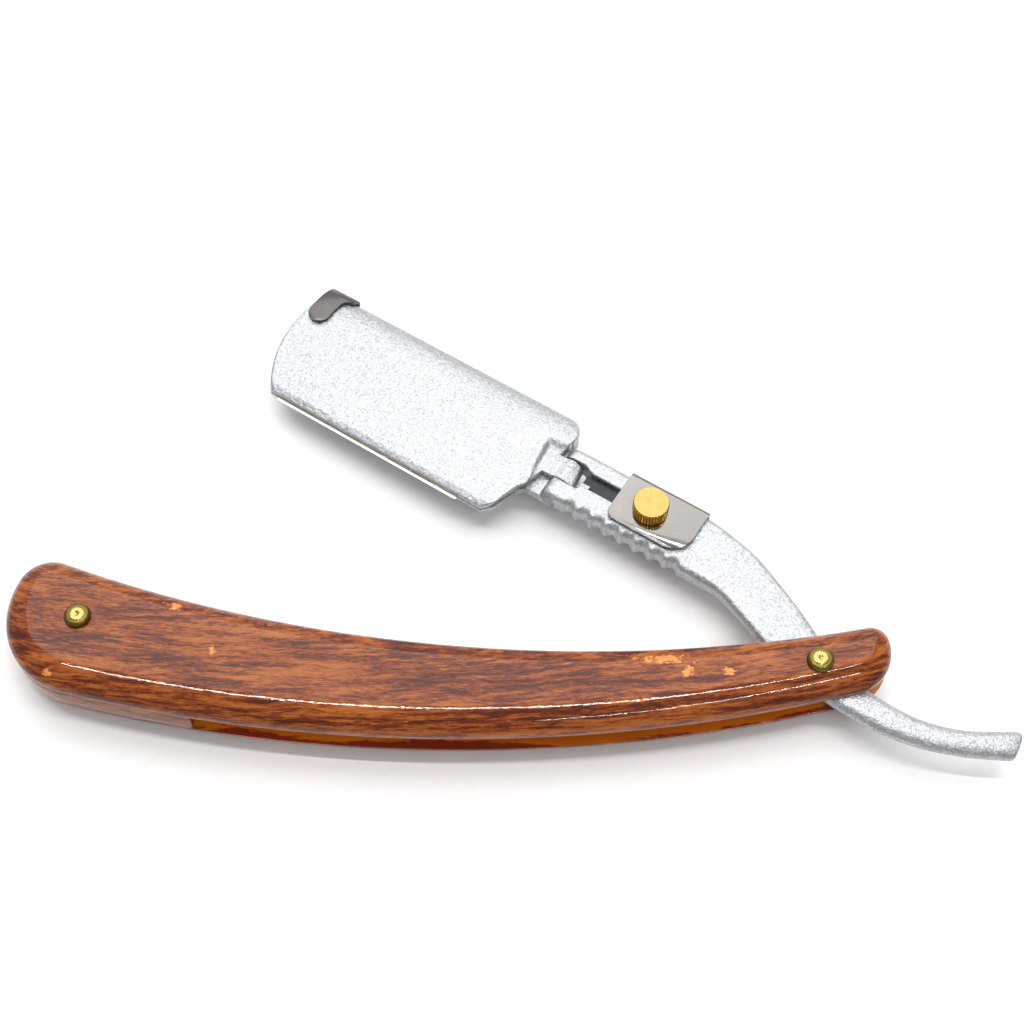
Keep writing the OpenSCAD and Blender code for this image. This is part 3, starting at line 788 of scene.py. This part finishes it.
def toe_edge(y):
    """x of the head's toe end at y."""
    return TOE_X + TOE_R - sqrt(TOE_R**2 - (y - TOE_Y) ** 2)


def heel_edge(y, low):
    """x of the head's heel end at y."""
    round_y = SPINE_Y - HEEL_R
    if y > round_y:
        return HEEL_X - HEEL_R + sqrt(max(HEEL_R**2 - (y - round_y) ** 2, 0))
    return x_along(((low, HEEL_LOW_X),) + HEEL_LINE + ((round_y, HEEL_X),), y)


def leaf_rows(low):
    """y of the lengthwise lines over a leaf, dense where it bends."""
    spine = SPINE_Y - SPINE_FLAT_Y
    rows = [low, low + 0.04, low + 0.12] + spaced(low + 0.3, low + BEVEL_W - 0.2, 0.25)
    rows += [low + BEVEL_W + d for d in (-0.1, 0.0, 0.1, 0.2, 0.31)]
    rows += spaced(low + BEVEL_W + 0.5, SPINE_FLAT_Y - 0.3, 0.42)
    rows += [SPINE_FLAT_Y + spine * sin(radians(a)) for a in range(0, 90, 5)]
    rows += [SPINE_Y - 0.012]
    return rows


def leaf_shape(low, base, height):
    """Leaf of the head over its outline. height(x, y) is its outer face, base its inner plane."""
    near = [0, 0.02, 0.06, 0.13, 0.22, 0.34, 0.5, 0.7]
    toe_w, heel_w = 3.0, 6.0
    stations = [("toe", d) for d in near + [1.0, 1.5, 2.2, toe_w]]
    stations += [("between", f / 30) for f in range(1, 30)]
    stations += [("heel", d) for d in reversed(near + spaced(0.9, heel_w, 0.22))]
    rows = leaf_rows(low)
    rings = []
    for kind, d in stations:
        top, under = [], []
        for y in rows:
            toe, heel = toe_edge(y), heel_edge(y, low)
            if kind == "toe":
                x, drop = toe + d, edge_drop(d, TOE_ROUND)
            elif kind == "heel":
                x, drop = heel - d, edge_drop(d, HEEL_ROUND)
            else:
                x, drop = toe + toe_w + d * (heel - heel_w - toe - toe_w), 0
            lip = edge_drop(y - low, LIP_ROUND)
            z = max(height(x, y) - drop - lip, base + 0.02)
            top.append((x, y, z))
            under.append((x, y, base))
        rings.append(top + list(reversed(under)))
    return loft(rings)



def cover_height(x, y):
    """Height of the cover's outer face, which falls to its neck past its raised part."""
    z = leaf_z(y, HEAD_LOW)
    fall = smooth_step((x - x_along(FACE_END, y)) / 1.15)
    fade = smooth_step((y - 2.9) / 0.8) * (1 - smooth_step((y - 12.2) / 2.2))
    return z - fall * fade * max(z - NECK_H, 0)


def lug_shape():
    """Neck and lug of the cover: an (x, z) outline drawn out along y, its end slanted."""
    low, high = SLOT_Y - LUG_W / 2, SLOT_Y + LUG_W / 2
    neck_x, floor_z, top = -55.9, 0.1, NECK_H + 0.02
    tail = (-49.8, floor_z)
    outline = [(neck_x, floor_z), (HINGE_X - LUG_R - 0.01, floor_z)]
    outline += arc((HINGE_X, 0), LUG_R, 182, 262, 12)
    outline += arc(tail, 1.4, -72, 68, 18)
    outline += arc((HINGE_X, 0), LUG_R, 76, 112, 6)
    outline += [(-53.2, top), (neck_x, top)]
    verts, faces = slab(outline, low, high, 0.3, 4)
    turned = []
    for x, z, y in verts:
        slant = 0.19 * (y - low) * smooth_step((x - HINGE_X) / 1.6)
        turned.append((x - slant, y, z))
    return turned, faces


def add_cover():
    """Front leaf with room for the fork's two arms, its neck and lug, stud holes and pin hole."""
    obj = build("blade_cover", leaf_shape(HEAD_LOW, LEAF_GAP, cover_height), ARM)
    half, far_x = LUG_W / 2 - 0.3, -44
    low_room = rectangle(-54.5, 0, far_x, SLOT_Y - half)
    high_room = rectangle(HEEL_X - 0.3, SLOT_Y + half, far_x, 15.2)
    for room in (low_room, high_room):
        cut(obj, slab(room, -5, 5, 0.01, 1), ARM)
    unite(obj, lug_shape(), ARM)
    for x in STUD_X:
        cut(obj, rod(STUD_R + 0.2, -1, 0.65, (x, HEAD_LOW - BLADE_OUT + BLADE_W)), ARM)
    cut(obj, rod(HINGE_R + 0.05, 0, 20, (HINGE_X, 0), "y"), ARM)
    finish_piece(obj, "cover", "blade_cover", SILVER, 38)


def add_blade():
    """Half of a double-edge blade: ground edge, narrow front, wider back with square ends."""
    low, half, shoulder = HEAD_LOW - BLADE_OUT, BLADE_T / 2, 3
    rows = [(low, EDGE_X[0] + 0.35, EDGE_X[1] - 0.35, 0.004),
            (low + 0.1, EDGE_X[0] + 0.1, EDGE_X[1] - 0.1, 0.015),
            (low + BLADE_GRIND, *EDGE_X, half),
            (low + shoulder, *EDGE_X, half),
            (low + shoulder, *BLADE_X, half),
            (low + BLADE_W, *BLADE_X, half)]
    shape = loft([[(x0, y, -z), (x1, y, -z), (x1, y, z), (x0, y, z)] for y, x0, x1, z in rows])
    obj = build("blade", shape, ARM)
    for x in STUD_X:
        cut(obj, rod(STUD_R + 0.15, -1, 1, (x, low + BLADE_W)), ARM)
    finish_piece(obj, "arm", "blade", [BLADE_STEEL, BLADE_GROUND_PAINTED_HIGHLIGHT], 5)
    # The strip within BLADE_GRIND of the edge takes the near-white steel, in part a painted
    # highlight.
    for polygon in obj.data.polygons:
        y = (ARM.inverted() @ polygon.center).y
        polygon.material_index = 1 if y < low + BLADE_GRIND else 0


# ---- Toe clip and slider: bent sheets ----
def bent_sheet(path, widths, t, edge):
    """Sheet of thickness t along a (y, z) path. widths gives (x0, x1) at each path point."""
    rings = []
    last = len(path) - 1
    for i, ((y, z), (x0, x1)) in enumerate(zip(path, widths)):
        ya, za = path[max(i - 1, 0)]
        yb, zb = path[min(i + 1, last)]
        d = hypot(yb - ya, zb - za)
        ny, nz = -(zb - za) / d, (yb - ya) / d
        half = t / 2 * (0.72, 0.93, 1.0)[min(i, last - i, 2)]
        e = min(edge, (x1 - x0) / 3, half)
        corner = ((0, e), (0.3 * e, 0.3 * e), (e, 0))
        section = [(x0 + a, b - half) for a, b in corner]
        section += [(x1 - a, b - half) for a, b in reversed(corner)]
        section += [(x1 - a, half - b) for a, b in corner]
        section += [(x0 + a, half - b) for a, b in reversed(corner)]
        rings.append([(x, y + ny * h, z + nz * h) for x, h in section])
    return loft(rings)


def clip_path():
    """Middle of the clip's sheet from its front leg's end over the spine to its back leg's end."""
    reach = SPINE_Y - SPINE_FLAT_Y + CLIP_AIR + CLIP_T / 2
    h = SPINE_H + CLIP_LIFT + CLIP_T / 2
    front_y, back_y = CLIP_END_Y
    front, back = (face_z(y) + CLIP_LIFT + CLIP_T / 2 for y in CLIP_END_Y)
    path = []
    for s in (0, 0.03, 0.08, 0.16, 0.3, 0.5, 0.75, 1.05, 1.4, 1.75, 2.05, 2.4):
        path.append((front_y + s, front + (h - front) * s / (SPINE_FLAT_Y - front_y)))
    turns = [radians(a) for a in range(90, -91, -4)]
    path += [(SPINE_FLAT_Y + reach * cos(a), h * sin(a)) for a in turns]
    for y in spaced(SPINE_FLAT_Y - 0.4, back_y + 0.2, 0.6) + [back_y + 0.08, back_y]:
        path.append((y, -h + (h - back) * (SPINE_FLAT_Y - y) / (SPINE_FLAT_Y - back_y)))
    return path


def clip_ends(y, z):
    """x of the clip's two edges: a round leg in front that a fillet widens to the band."""
    x0, x1 = CLIP_X
    if z <= 0:
        return x0, CLIP_BAND_X
    leg_r = (x1 - x0) / 2
    fillet = CLIP_BAND_X - x1
    s = y - CLIP_END_Y[0]
    if s < leg_r:
        reach = max(sqrt(leg_r**2 - (leg_r - s) ** 2), 0.25)
        return x0 + leg_r - reach, x0 + leg_r + reach
    if y > CLIP_BAND_Y - fillet:
        rise = min(y - CLIP_BAND_Y + fillet, fillet)
        return x0, CLIP_BAND_X - sqrt(fillet**2 - rise**2)
    return x0, x1


def add_toe_clip():
    path = clip_path()
    sheet = bent_sheet(path, [clip_ends(y, z) for y, z in path], CLIP_T, 0.14)
    obj = build("toe_clip", sheet, ARM)
    cut(obj, rod(RIVET_BORE_R, -5, 0, CLIP_RIVET), ARM)
    finish_piece(obj, "arm", "toe_clip", CLIP_STEEL, 40)


def add_clip_rivet():
    """Round head on the clip's back leg, its stem in the back leaf."""
    z = -face_z(CLIP_RIVET[1]) - CLIP_T - CLIP_LIFT
    profile = [(0, z - 0.5), (0.6, z - 0.47), (1.05, z - 0.38), (RIVET_HEAD_R, z - 0.2),
               (RIVET_HEAD_R, z - 0.05), (RIVET_R, z - 0.05), (RIVET_R, -0.42), (0.62, -0.4),
               (0, -0.4)]
    shape = lathe(profile, 48, CLIP_RIVET)
    simple_piece(shape, ARM, "arm", "toe_clip_rivet", CLIP_STEEL)


def bore_for_screw(obj, z0=-5):
    cut(obj, rod(SCREW_BORE_R, z0, 5, (SCREW.x, SLOT_Y)), ARM)


def add_slider():
    """Saddle of bent sheet over the grip's spine, with one small and one large corner."""
    bend = 1.2
    mid_bend = bend - SHEET / 2
    y0, y1 = SLIDER_Y
    mid = SLIDER_Z + SHEET / 2
    run = [0, 0.03, 0.08, 0.16, 0.3, 0.5, 0.75, 1.05, 1.4, 1.8, 2.3, 2.8, 3.3, 3.8, 6.0]
    path = [(y0 + s, mid) for s in run]
    path += arc((y1 - bend, mid - mid_bend), mid_bend, 90, 0, 8)
    path += arc((y1 - bend, mid_bend - mid), mid_bend, 0, -90, 8)
    path += [(y0 + s, -mid) for s in reversed(run)]
    x0, x1 = SLIDER_X
    r0, r1 = SLIDER_CORNERS
    widths = [(x0 + edge_drop(y - y0, r0), x1 - edge_drop(y - y0, r1)) for y, _ in path]
    obj = build("lock_slider", bent_sheet(path, widths, SHEET, 0.12), ARM)
    bore_for_screw(obj)
    finish_piece(obj, "slider", "lock_slider", SLIDER_STEEL, 40)


def add_tongue():
    """Flat tongue in the grip's slot with a round post up to the slider."""
    z0, z1 = TONGUE_Z
    half = TONGUE_W / 2
    plan = rectangle(TONGUE_X[0], SLOT_Y - half, TONGUE_X[1], SLOT_Y + half)
    obj = build("lock_tongue", slab(plan, z0, z1, 0.1, 3), ARM)
    unite(obj, rod(half - 0.01, z0 + 0.01, SLIDER_Z, (SCREW.x, SLOT_Y)), ARM)
    bore_for_screw(obj)
    # The tongue takes the darkened steel, partly painted shade of the slot.
    finish_piece(obj, "slider", "lock_tongue", DARK_STEEL_PAINTED_SHADE)


def add_nut():
    top = -SLIDER_Z - SHEET
    hexagon = arc((SCREW.x, SLOT_Y), NUT_R, 0, 300, 5)
    obj = build("lock_nut", slab(hexagon, top - NUT_H, top, 0.16, 3), ARM)
    bore_for_screw(obj, -6)
    finish_piece(obj, "slider", "lock_nut", SLIDER_STEEL)


def knob_ring(z, r, share):
    """Ring of the knob with a share of the knurling's full depth."""
    out = []
    count = KNURLS * KNURL_POINTS
    for i in range(count):
        a = 2 * pi * i / count
        ridge = abs(2 * (i % KNURL_POINTS) / KNURL_POINTS - 1)
        k = r - share * GROOVE * (1 - ridge)
        out.append((SCREW.x + k * cos(a), SLOT_Y + k * sin(a), z))
    return out


def screw_profile():
    """Threaded end, plain stem and neck under the knob."""
    low = -SLIDER_Z - SHEET - NUT_H - 0.3
    profile = [(0, low), (0.75, low), (0.98, low + 0.2)]
    z = low + THREAD_PITCH
    while z < -SLIDER_Z:
        profile += [(SCREW_R, z), (THREAD_R, z + 0.08), (SCREW_R, z + 0.16)]
        z += THREAD_PITCH
    profile += [(SCREW_R, -SLIDER_Z + 0.3), (SCREW_R, KNOB_Z - 0.16), (NECK_R, KNOB_Z - 0.15)]
    return profile + [(NECK_R, KNOB_Z + 0.1), (0, KNOB_Z + 0.1)]


def paint_knob(mesh):
    """Gives the knob's wall a brighter gold, painted light, and its grooves a darker gold, painted
    shade.
    """
    centre = ARM @ Vector((SCREW.x, SLOT_Y, 0))
    top = KNOB_Z + KNOB_H
    for polygon in mesh.polygons:
        out = polygon.center - centre
        height = out.z / MM
        out.z = 0
        in_groove = out.length < (KNOB_R - GROOVE * 0.6) * MM
        on_wall = height < top - 0.1
        deep = on_wall and in_groove and height > KNOB_Z + 0.1
        polygon.material_index = 1 if deep else 2 if on_wall else 0


def add_knob():
    """Knurled knob with a flat brushed top, its neck and its threaded screw."""
    top = KNOB_Z + KNOB_H
    # Distance from the knob's base or top, inset and share of the knurling
    low_rows = ((0, 0.34, 0), (0.03, 0.28, 0), (0.16, 0.04, 0.7), (0.22, 0, 1))
    high_rows = ((0.17, 0, 1), (0.1, 0.02, 0.7), (0.04, 0.07, 0.4), (0.01, 0.13, 1 / 6),
                 (0, 0.24, 0))
    rings = [knob_ring(KNOB_Z + h, KNOB_R - d, share) for h, d, share in low_rows]
    rings += [knob_ring(top - h, KNOB_R - d, share) for h, d, share in high_rows]
    obj = build("lock_knob", loft(rings), ARM)
    unite(obj, lathe(screw_profile(), 48, (SCREW.x, SLOT_Y)), ARM)
    finish_piece(obj, "knob", "lock_knob", [GOLD, GOLD_GROOVE_PAINTED_SHADE, GOLD_SIDE_PAINTED_LIGHT], 30)
    paint_knob(obj.data)


# ---- Tang: tail, shank, grip, fork and back leaf ----
# Lower edge point, upper edge point and half thickness at stations along the shank
SHANK = [
    (GRIP_END_X, GRIP_LOW, GRIP_END_X, GRIP_HIGH, GRIP_HALF),
    (-23.5, 3.95, -22.3, 14.3, GRIP_HALF - 0.08),
    (-19.5, 3.8, -16.8, 12.95, (GRIP_HALF + TANG_HALF) / 2),
    (-15, 2.3, -11, 10.5, TANG_HALF),
    (-9.5, 0.1, -5.5, 7.7, TANG_HALF),
    (-3.5, -2.1, 0.5, 4.3, TANG_HALF),
    (2, -3.1, 4.6, 2.6, TANG_HALF),
    (7.5, -3.5, 8.7, 1.8, TANG_HALF),
    (13.5, -3.3, 13.2, 1.55, TANG_HALF),
    (19.3, -2.15, 17.8, 2, TANG_HALF),
    (24.9, 0, 22.8, 3.65, TANG_HALF),
    (28.7, 1.95, 26.8, 5.9, TANG_HALF),
    (31.1, 3.3, 30.2, 8, TANG_HALF * 0.95),
    (31.5, 3.9, 31.1, 7.6, TANG_HALF * 0.7),
]


def bar_ring(x0, y0, x1, y1, half, low_r=CORNER_R, high_r=CORNER_R, crown=0.0):
    """Rounded bar section standing on the line from (x0, y0) to (x1, y1)."""
    w = hypot(x1 - x0, y1 - y0)
    r = min(high_r, half * 0.92)
    q = min(low_r, half * 0.92)
    section = []
    for side, first, second in ((1, (w - r, 0, r), (q, 90, q)), (-1, (q, 180, q), (w - r, 270, r))):
        x, start, k = first
        section += arc((x, side * (half - k)), k, start, start + 90, 7)
        section += [(x + (second[0] - x) * i / 6, side * half) for i in range(1, 6)]
        x, start, k = second
        section += arc((x, side * (half - k)), k, start, start + 90, 7)
    ring = []
    for s, z in section:
        share = s / w
        flatter = 1 - crown * (2 * share - 1) ** 2
        ring.append((x0 + share * (x1 - x0), y0 + share * (y1 - y0), z * flatter))
    return ring


def shank_ring(row):
    """Section of the shank or the tail, rounder and more domed towards the tail."""
    share = smooth_step((row[0] + 12) / 14)
    r = CORNER_R + 0.2 * share
    return bar_ring(*row, low_r=r, high_r=r, crown=0.08 + 0.22 * share)


def grip_low(x):
    """Lower edge of the grip, with its thumb notches."""
    y = GRIP_LOW
    for i in range(NOTCHES):
        dx = x - NOTCH_X - NOTCH_PITCH * i
        if abs(dx) < NOTCH_R:
            y = max(y, GRIP_LOW - NOTCH_R + NOTCH_DEPTH + sqrt(NOTCH_R**2 - dx**2))
    return y


def notch_share(x):
    """1 in the middle of a thumb notch, 0 between two of them."""
    along = (x - NOTCH_X) / NOTCH_PITCH
    if not -0.5 < along < NOTCHES - 0.5:
        return 0.3
    return 0.5 + 0.5 * cos(2 * pi * along)


def slot_shape():
    """Lug pocket and lock slot, flared where they come out of the grip's faces."""
    y0, y1 = SLOT_Y - POCKET_W / 2, SLOT_Y + POCKET_W / 2
    s0, s1 = SLOT_Y - SLOT_W / 2, SLOT_Y + SLOT_W / 2
    left = HINGE_X - KNUCKLE_R - 0.05
    outline = [(left, y0), (POCKET_X - 0.3, y0)] + arc((POCKET_X - 0.3, y0 + 0.3), 0.3, -60, 0, 3)
    outline += [(POCKET_X, s0)] + arc((SLOT_END_X, SLOT_Y), SLOT_W / 2, -90, 90, 16)
    outline += [(POCKET_X + 0.9, s1), (POCKET_X - 1.2, y1), (left, y1)]
    r = 0.28
    turns = [radians(a) for a in (0, 25, 50, 75)]
    edge = [(GRIP_HALF - r + r * sin(a), -r * (1 - cos(a))) for a in turns]
    edge.append((4, edge[-1][1]))
    levels = [(-z, d) for z, d in reversed(edge)] + edge
    return stack(outline, levels)


def tang_rings():
    """Sections from the knuckle through the grip and the shank to the tail's end."""
    rings = []
    for a in (3, 8, 15, 25, 36, 48, 60, 72, 84):
        x, half = HINGE_X - KNUCKLE_R * cos(radians(a)), KNUCKLE_R * sin(radians(a))
        sag = 0.03 + 0.5 * (1 - sin(radians(a)))
        rings.append(bar_ring(x, GRIP_LOW + sag, x, GRIP_HIGH - sag, half))
    for x in spaced(HINGE_X, GRIP_END_X - 0.15, 0.14):
        swell = GRIP_HALF - (GRIP_HALF - KNUCKLE_R) * (1 - smooth_step((x - HINGE_X) / 2))
        low_r = 0.95 + 0.7 * notch_share(x)
        rings.append(bar_ring(x, grip_low(x), x, GRIP_HIGH, swell, low_r))
    return rings + [shank_ring(row) for row in catmull_rom(SHANK, 8)]


def bore_tang(obj):
    cut(obj, rod(PIN_R + 0.05, -5, 5, (0, 0)), ARM)
    cut(obj, rod(HINGE_R + 0.02, -5, 20, (HINGE_X, 0), "y"), ARM)
    cut(obj, rod(HINGE_HEAD_R + 0.05, GRIP_LOW - 3, GRIP_LOW + 0.45, (HINGE_X, 0), "y"), ARM)
    cut(obj, rod(RIVET_BORE_R, -5, 0.5, CLIP_RIVET), ARM)


def add_tang():
    """One casting: bar, back leaf, bridge between them, blade studs and the slot's nib."""
    obj = build("tang", loft(tang_rings()), ARM)
    low = HEAD_LOW - 0.15
    verts, faces = leaf_shape(low, 0.05, lambda x, y: leaf_z(y, low))
    unite(obj, ([(x, y, -z) for x, y, z in verts], faces), ARM)
    bridge = rectangle(BRIDGE_X[0], GRIP_LOW + 0.06, BRIDGE_X[1], GRIP_HIGH - 0.06)
    unite(obj, slab(bridge, -KNUCKLE_R + 0.04, -0.05, 0.35, 4), ARM)
    for x in STUD_X:
        unite(obj, rod(STUD_R, -0.8, 0.5, (x, HEAD_LOW - BLADE_OUT + BLADE_W), chamfer=0.15), ARM)
    cut(obj, slot_shape(), ARM)
    nib = rectangle(POCKET_X - 0.02, 8.3, -46.3, 9.4)
    unite(obj, slab(nib, 1.12, 1.52, 0.1, 3), ARM)
    bore_tang(obj)
    finish_piece(obj, "arm", "tang", SILVER, 38)


def add_hinge_pin():
    """Headed pin through the fork's arms and the cover's lug."""
    head_h = GRIP_LOW + 0.43
    pin = [(0, GRIP_LOW - 0.1), (0.7, GRIP_LOW - 0.06), (HINGE_HEAD_R - 0.1, GRIP_LOW + 0.02),
           (HINGE_HEAD_R, GRIP_LOW + 0.14), (HINGE_HEAD_R, head_h), (HINGE_R, head_h),
           (HINGE_R, GRIP_HIGH - 0.2), (HINGE_R - 0.1, GRIP_HIGH - 0.1), (0, GRIP_HIGH - 0.1)]
    shape = lathe(pin, 40, (HINGE_X, 0), "y")
    simple_piece(shape, ARM, "arm", "cover_hinge_pin", PIN_STEEL)


# ---- Assembly ----
FRONT = Matrix.Translation((0, 0, (MID_Z + GAP_HALF) * MM)) @ ROW
BACK = Matrix.Translation((0, 0, (MID_Z - GAP_HALF) * MM)) @ Matrix.Diagonal((1, 1, -1, 1)) @ ROW
add_scale("front_scale", 0, FRONT)
add_scale("back_scale", BACK_STEP, BACK)
add_spacer()
add_rivets()
add_washers()
add_tang()
add_hinge_pin()
add_blade()
add_toe_clip()
add_clip_rivet()
add_cover()
add_slider()
add_tongue()
add_nut()
add_knob()


# ---- Studio, in metres ----
FLOOR_HALF, FLOOR_Z = 1.6, -0.00005
# Place, target, size and power in watts of each area light
LIGHTS = {
    "softbox": ((0.0, 0.36, 0.46), (0.0, 0.02, 0.0), (1.0, 0.52), 2.9),
    "overhead_strip": ((-0.05, 0.07, 0.80), (-0.05, 0.0, 0.0), (0.8, 0.016), 2.6),
    "side_strip": ((0.22, -0.36, 0.72), (0.0, 0.0, 0.0), (0.42, 0.008), 0.9),
}
SKY_LOW, SKY_EXTRA, SKY_POWER, SKY_TOWARDS = 0.44, 0.55, 2, (-0.25, 0.88, 0.4)
CAMERA_PLACE = (-0.040953, -0.091281, 0.2055)
CAMERA_TARGET = (-0.048832, 0.03010, -0.001)
CAMERA_LENS, CAMERA_SENSOR, CAMERA_NEAR = 49.22, 36, 0.01


def place_towards(name, data, place, target):
    """Adds a light or a camera that looks from a place at a target."""
    obj = bpy.data.objects.new(name, data)
    obj.location = place
    obj.rotation_euler = (Vector(target) - Vector(place)).to_track_quat("-Z", "Y").to_euler()
    bpy.context.scene.collection.objects.link(obj)
    return obj


def add_floor():
    mesh = bpy.data.meshes.new("floor")
    corners = rectangle(-FLOOR_HALF, -FLOOR_HALF, FLOOR_HALF, FLOOR_HALF)
    mesh.from_pydata([(x, y, 0) for x, y in corners], [], [(0, 1, 2, 3)])
    floor = bpy.data.objects.new("floor", mesh)
    floor.location = (0, 0, FLOOR_Z)
    bpy.context.scene.collection.objects.link(floor)
    s = Shader("floor_white", Roughness=0.75)
    paper = s.noise(s.stretch(0.8, 0.8, 0.8), detail=4)
    s.out("Base Color", s.ramp(paper, (0.3, 0.91), (0.7, 0.94)))
    mesh.materials.append(s.material)


def add_area(name, place, target, size, watts):
    light = bpy.data.lights.new(name, "AREA")
    light.shape = "RECTANGLE"
    light.size, light.size_y = size
    light.energy = watts
    place_towards(name, light, place, target)


def add_camera():
    """The photo's view: 59.5 degrees above the table, a little right of the razor's middle."""
    camera = bpy.data.cameras.new("camera")
    camera.lens = CAMERA_LENS
    camera.sensor_width = CAMERA_SENSOR
    camera.clip_start = CAMERA_NEAR
    scene = bpy.context.scene
    scene.camera = place_towards("camera", camera, CAMERA_PLACE, CAMERA_TARGET)


def add_world():
    """White sky, dim all round and brighter towards one direction."""
    world = bpy.data.worlds.new("studio")
    world.use_nodes = True
    tree = world.node_tree

    def math(how, first, *rest):
        node = tree.nodes.new("ShaderNodeMath")
        node.operation = how
        tree.links.new(first, node.inputs[0])
        for socket, value in zip(node.inputs[1:], rest):
            socket.default_value = value
        return node.outputs[0]

    coords = tree.nodes.new("ShaderNodeTexCoord")
    facing = tree.nodes.new("ShaderNodeVectorMath")
    facing.operation = "DOT_PRODUCT"
    facing.inputs[1].default_value = Vector(SKY_TOWARDS).normalized()
    tree.links.new(coords.outputs["Generated"], facing.inputs[0])
    lobe = math("POWER", math("MAXIMUM", facing.outputs["Value"], 0), SKY_POWER)
    strength = math("MULTIPLY_ADD", lobe, SKY_EXTRA, SKY_LOW)
    background = tree.nodes["Background"]
    background.inputs["Color"].default_value = (1, 1, 1, 1)
    tree.links.new(strength, background.inputs["Strength"])
    bpy.context.scene.world = world


add_floor()
add_world()
for light_name, settings in LIGHTS.items():
    add_area(light_name, *settings)
add_camera()
bpy.context.scene.view_settings.view_transform = "Standard"
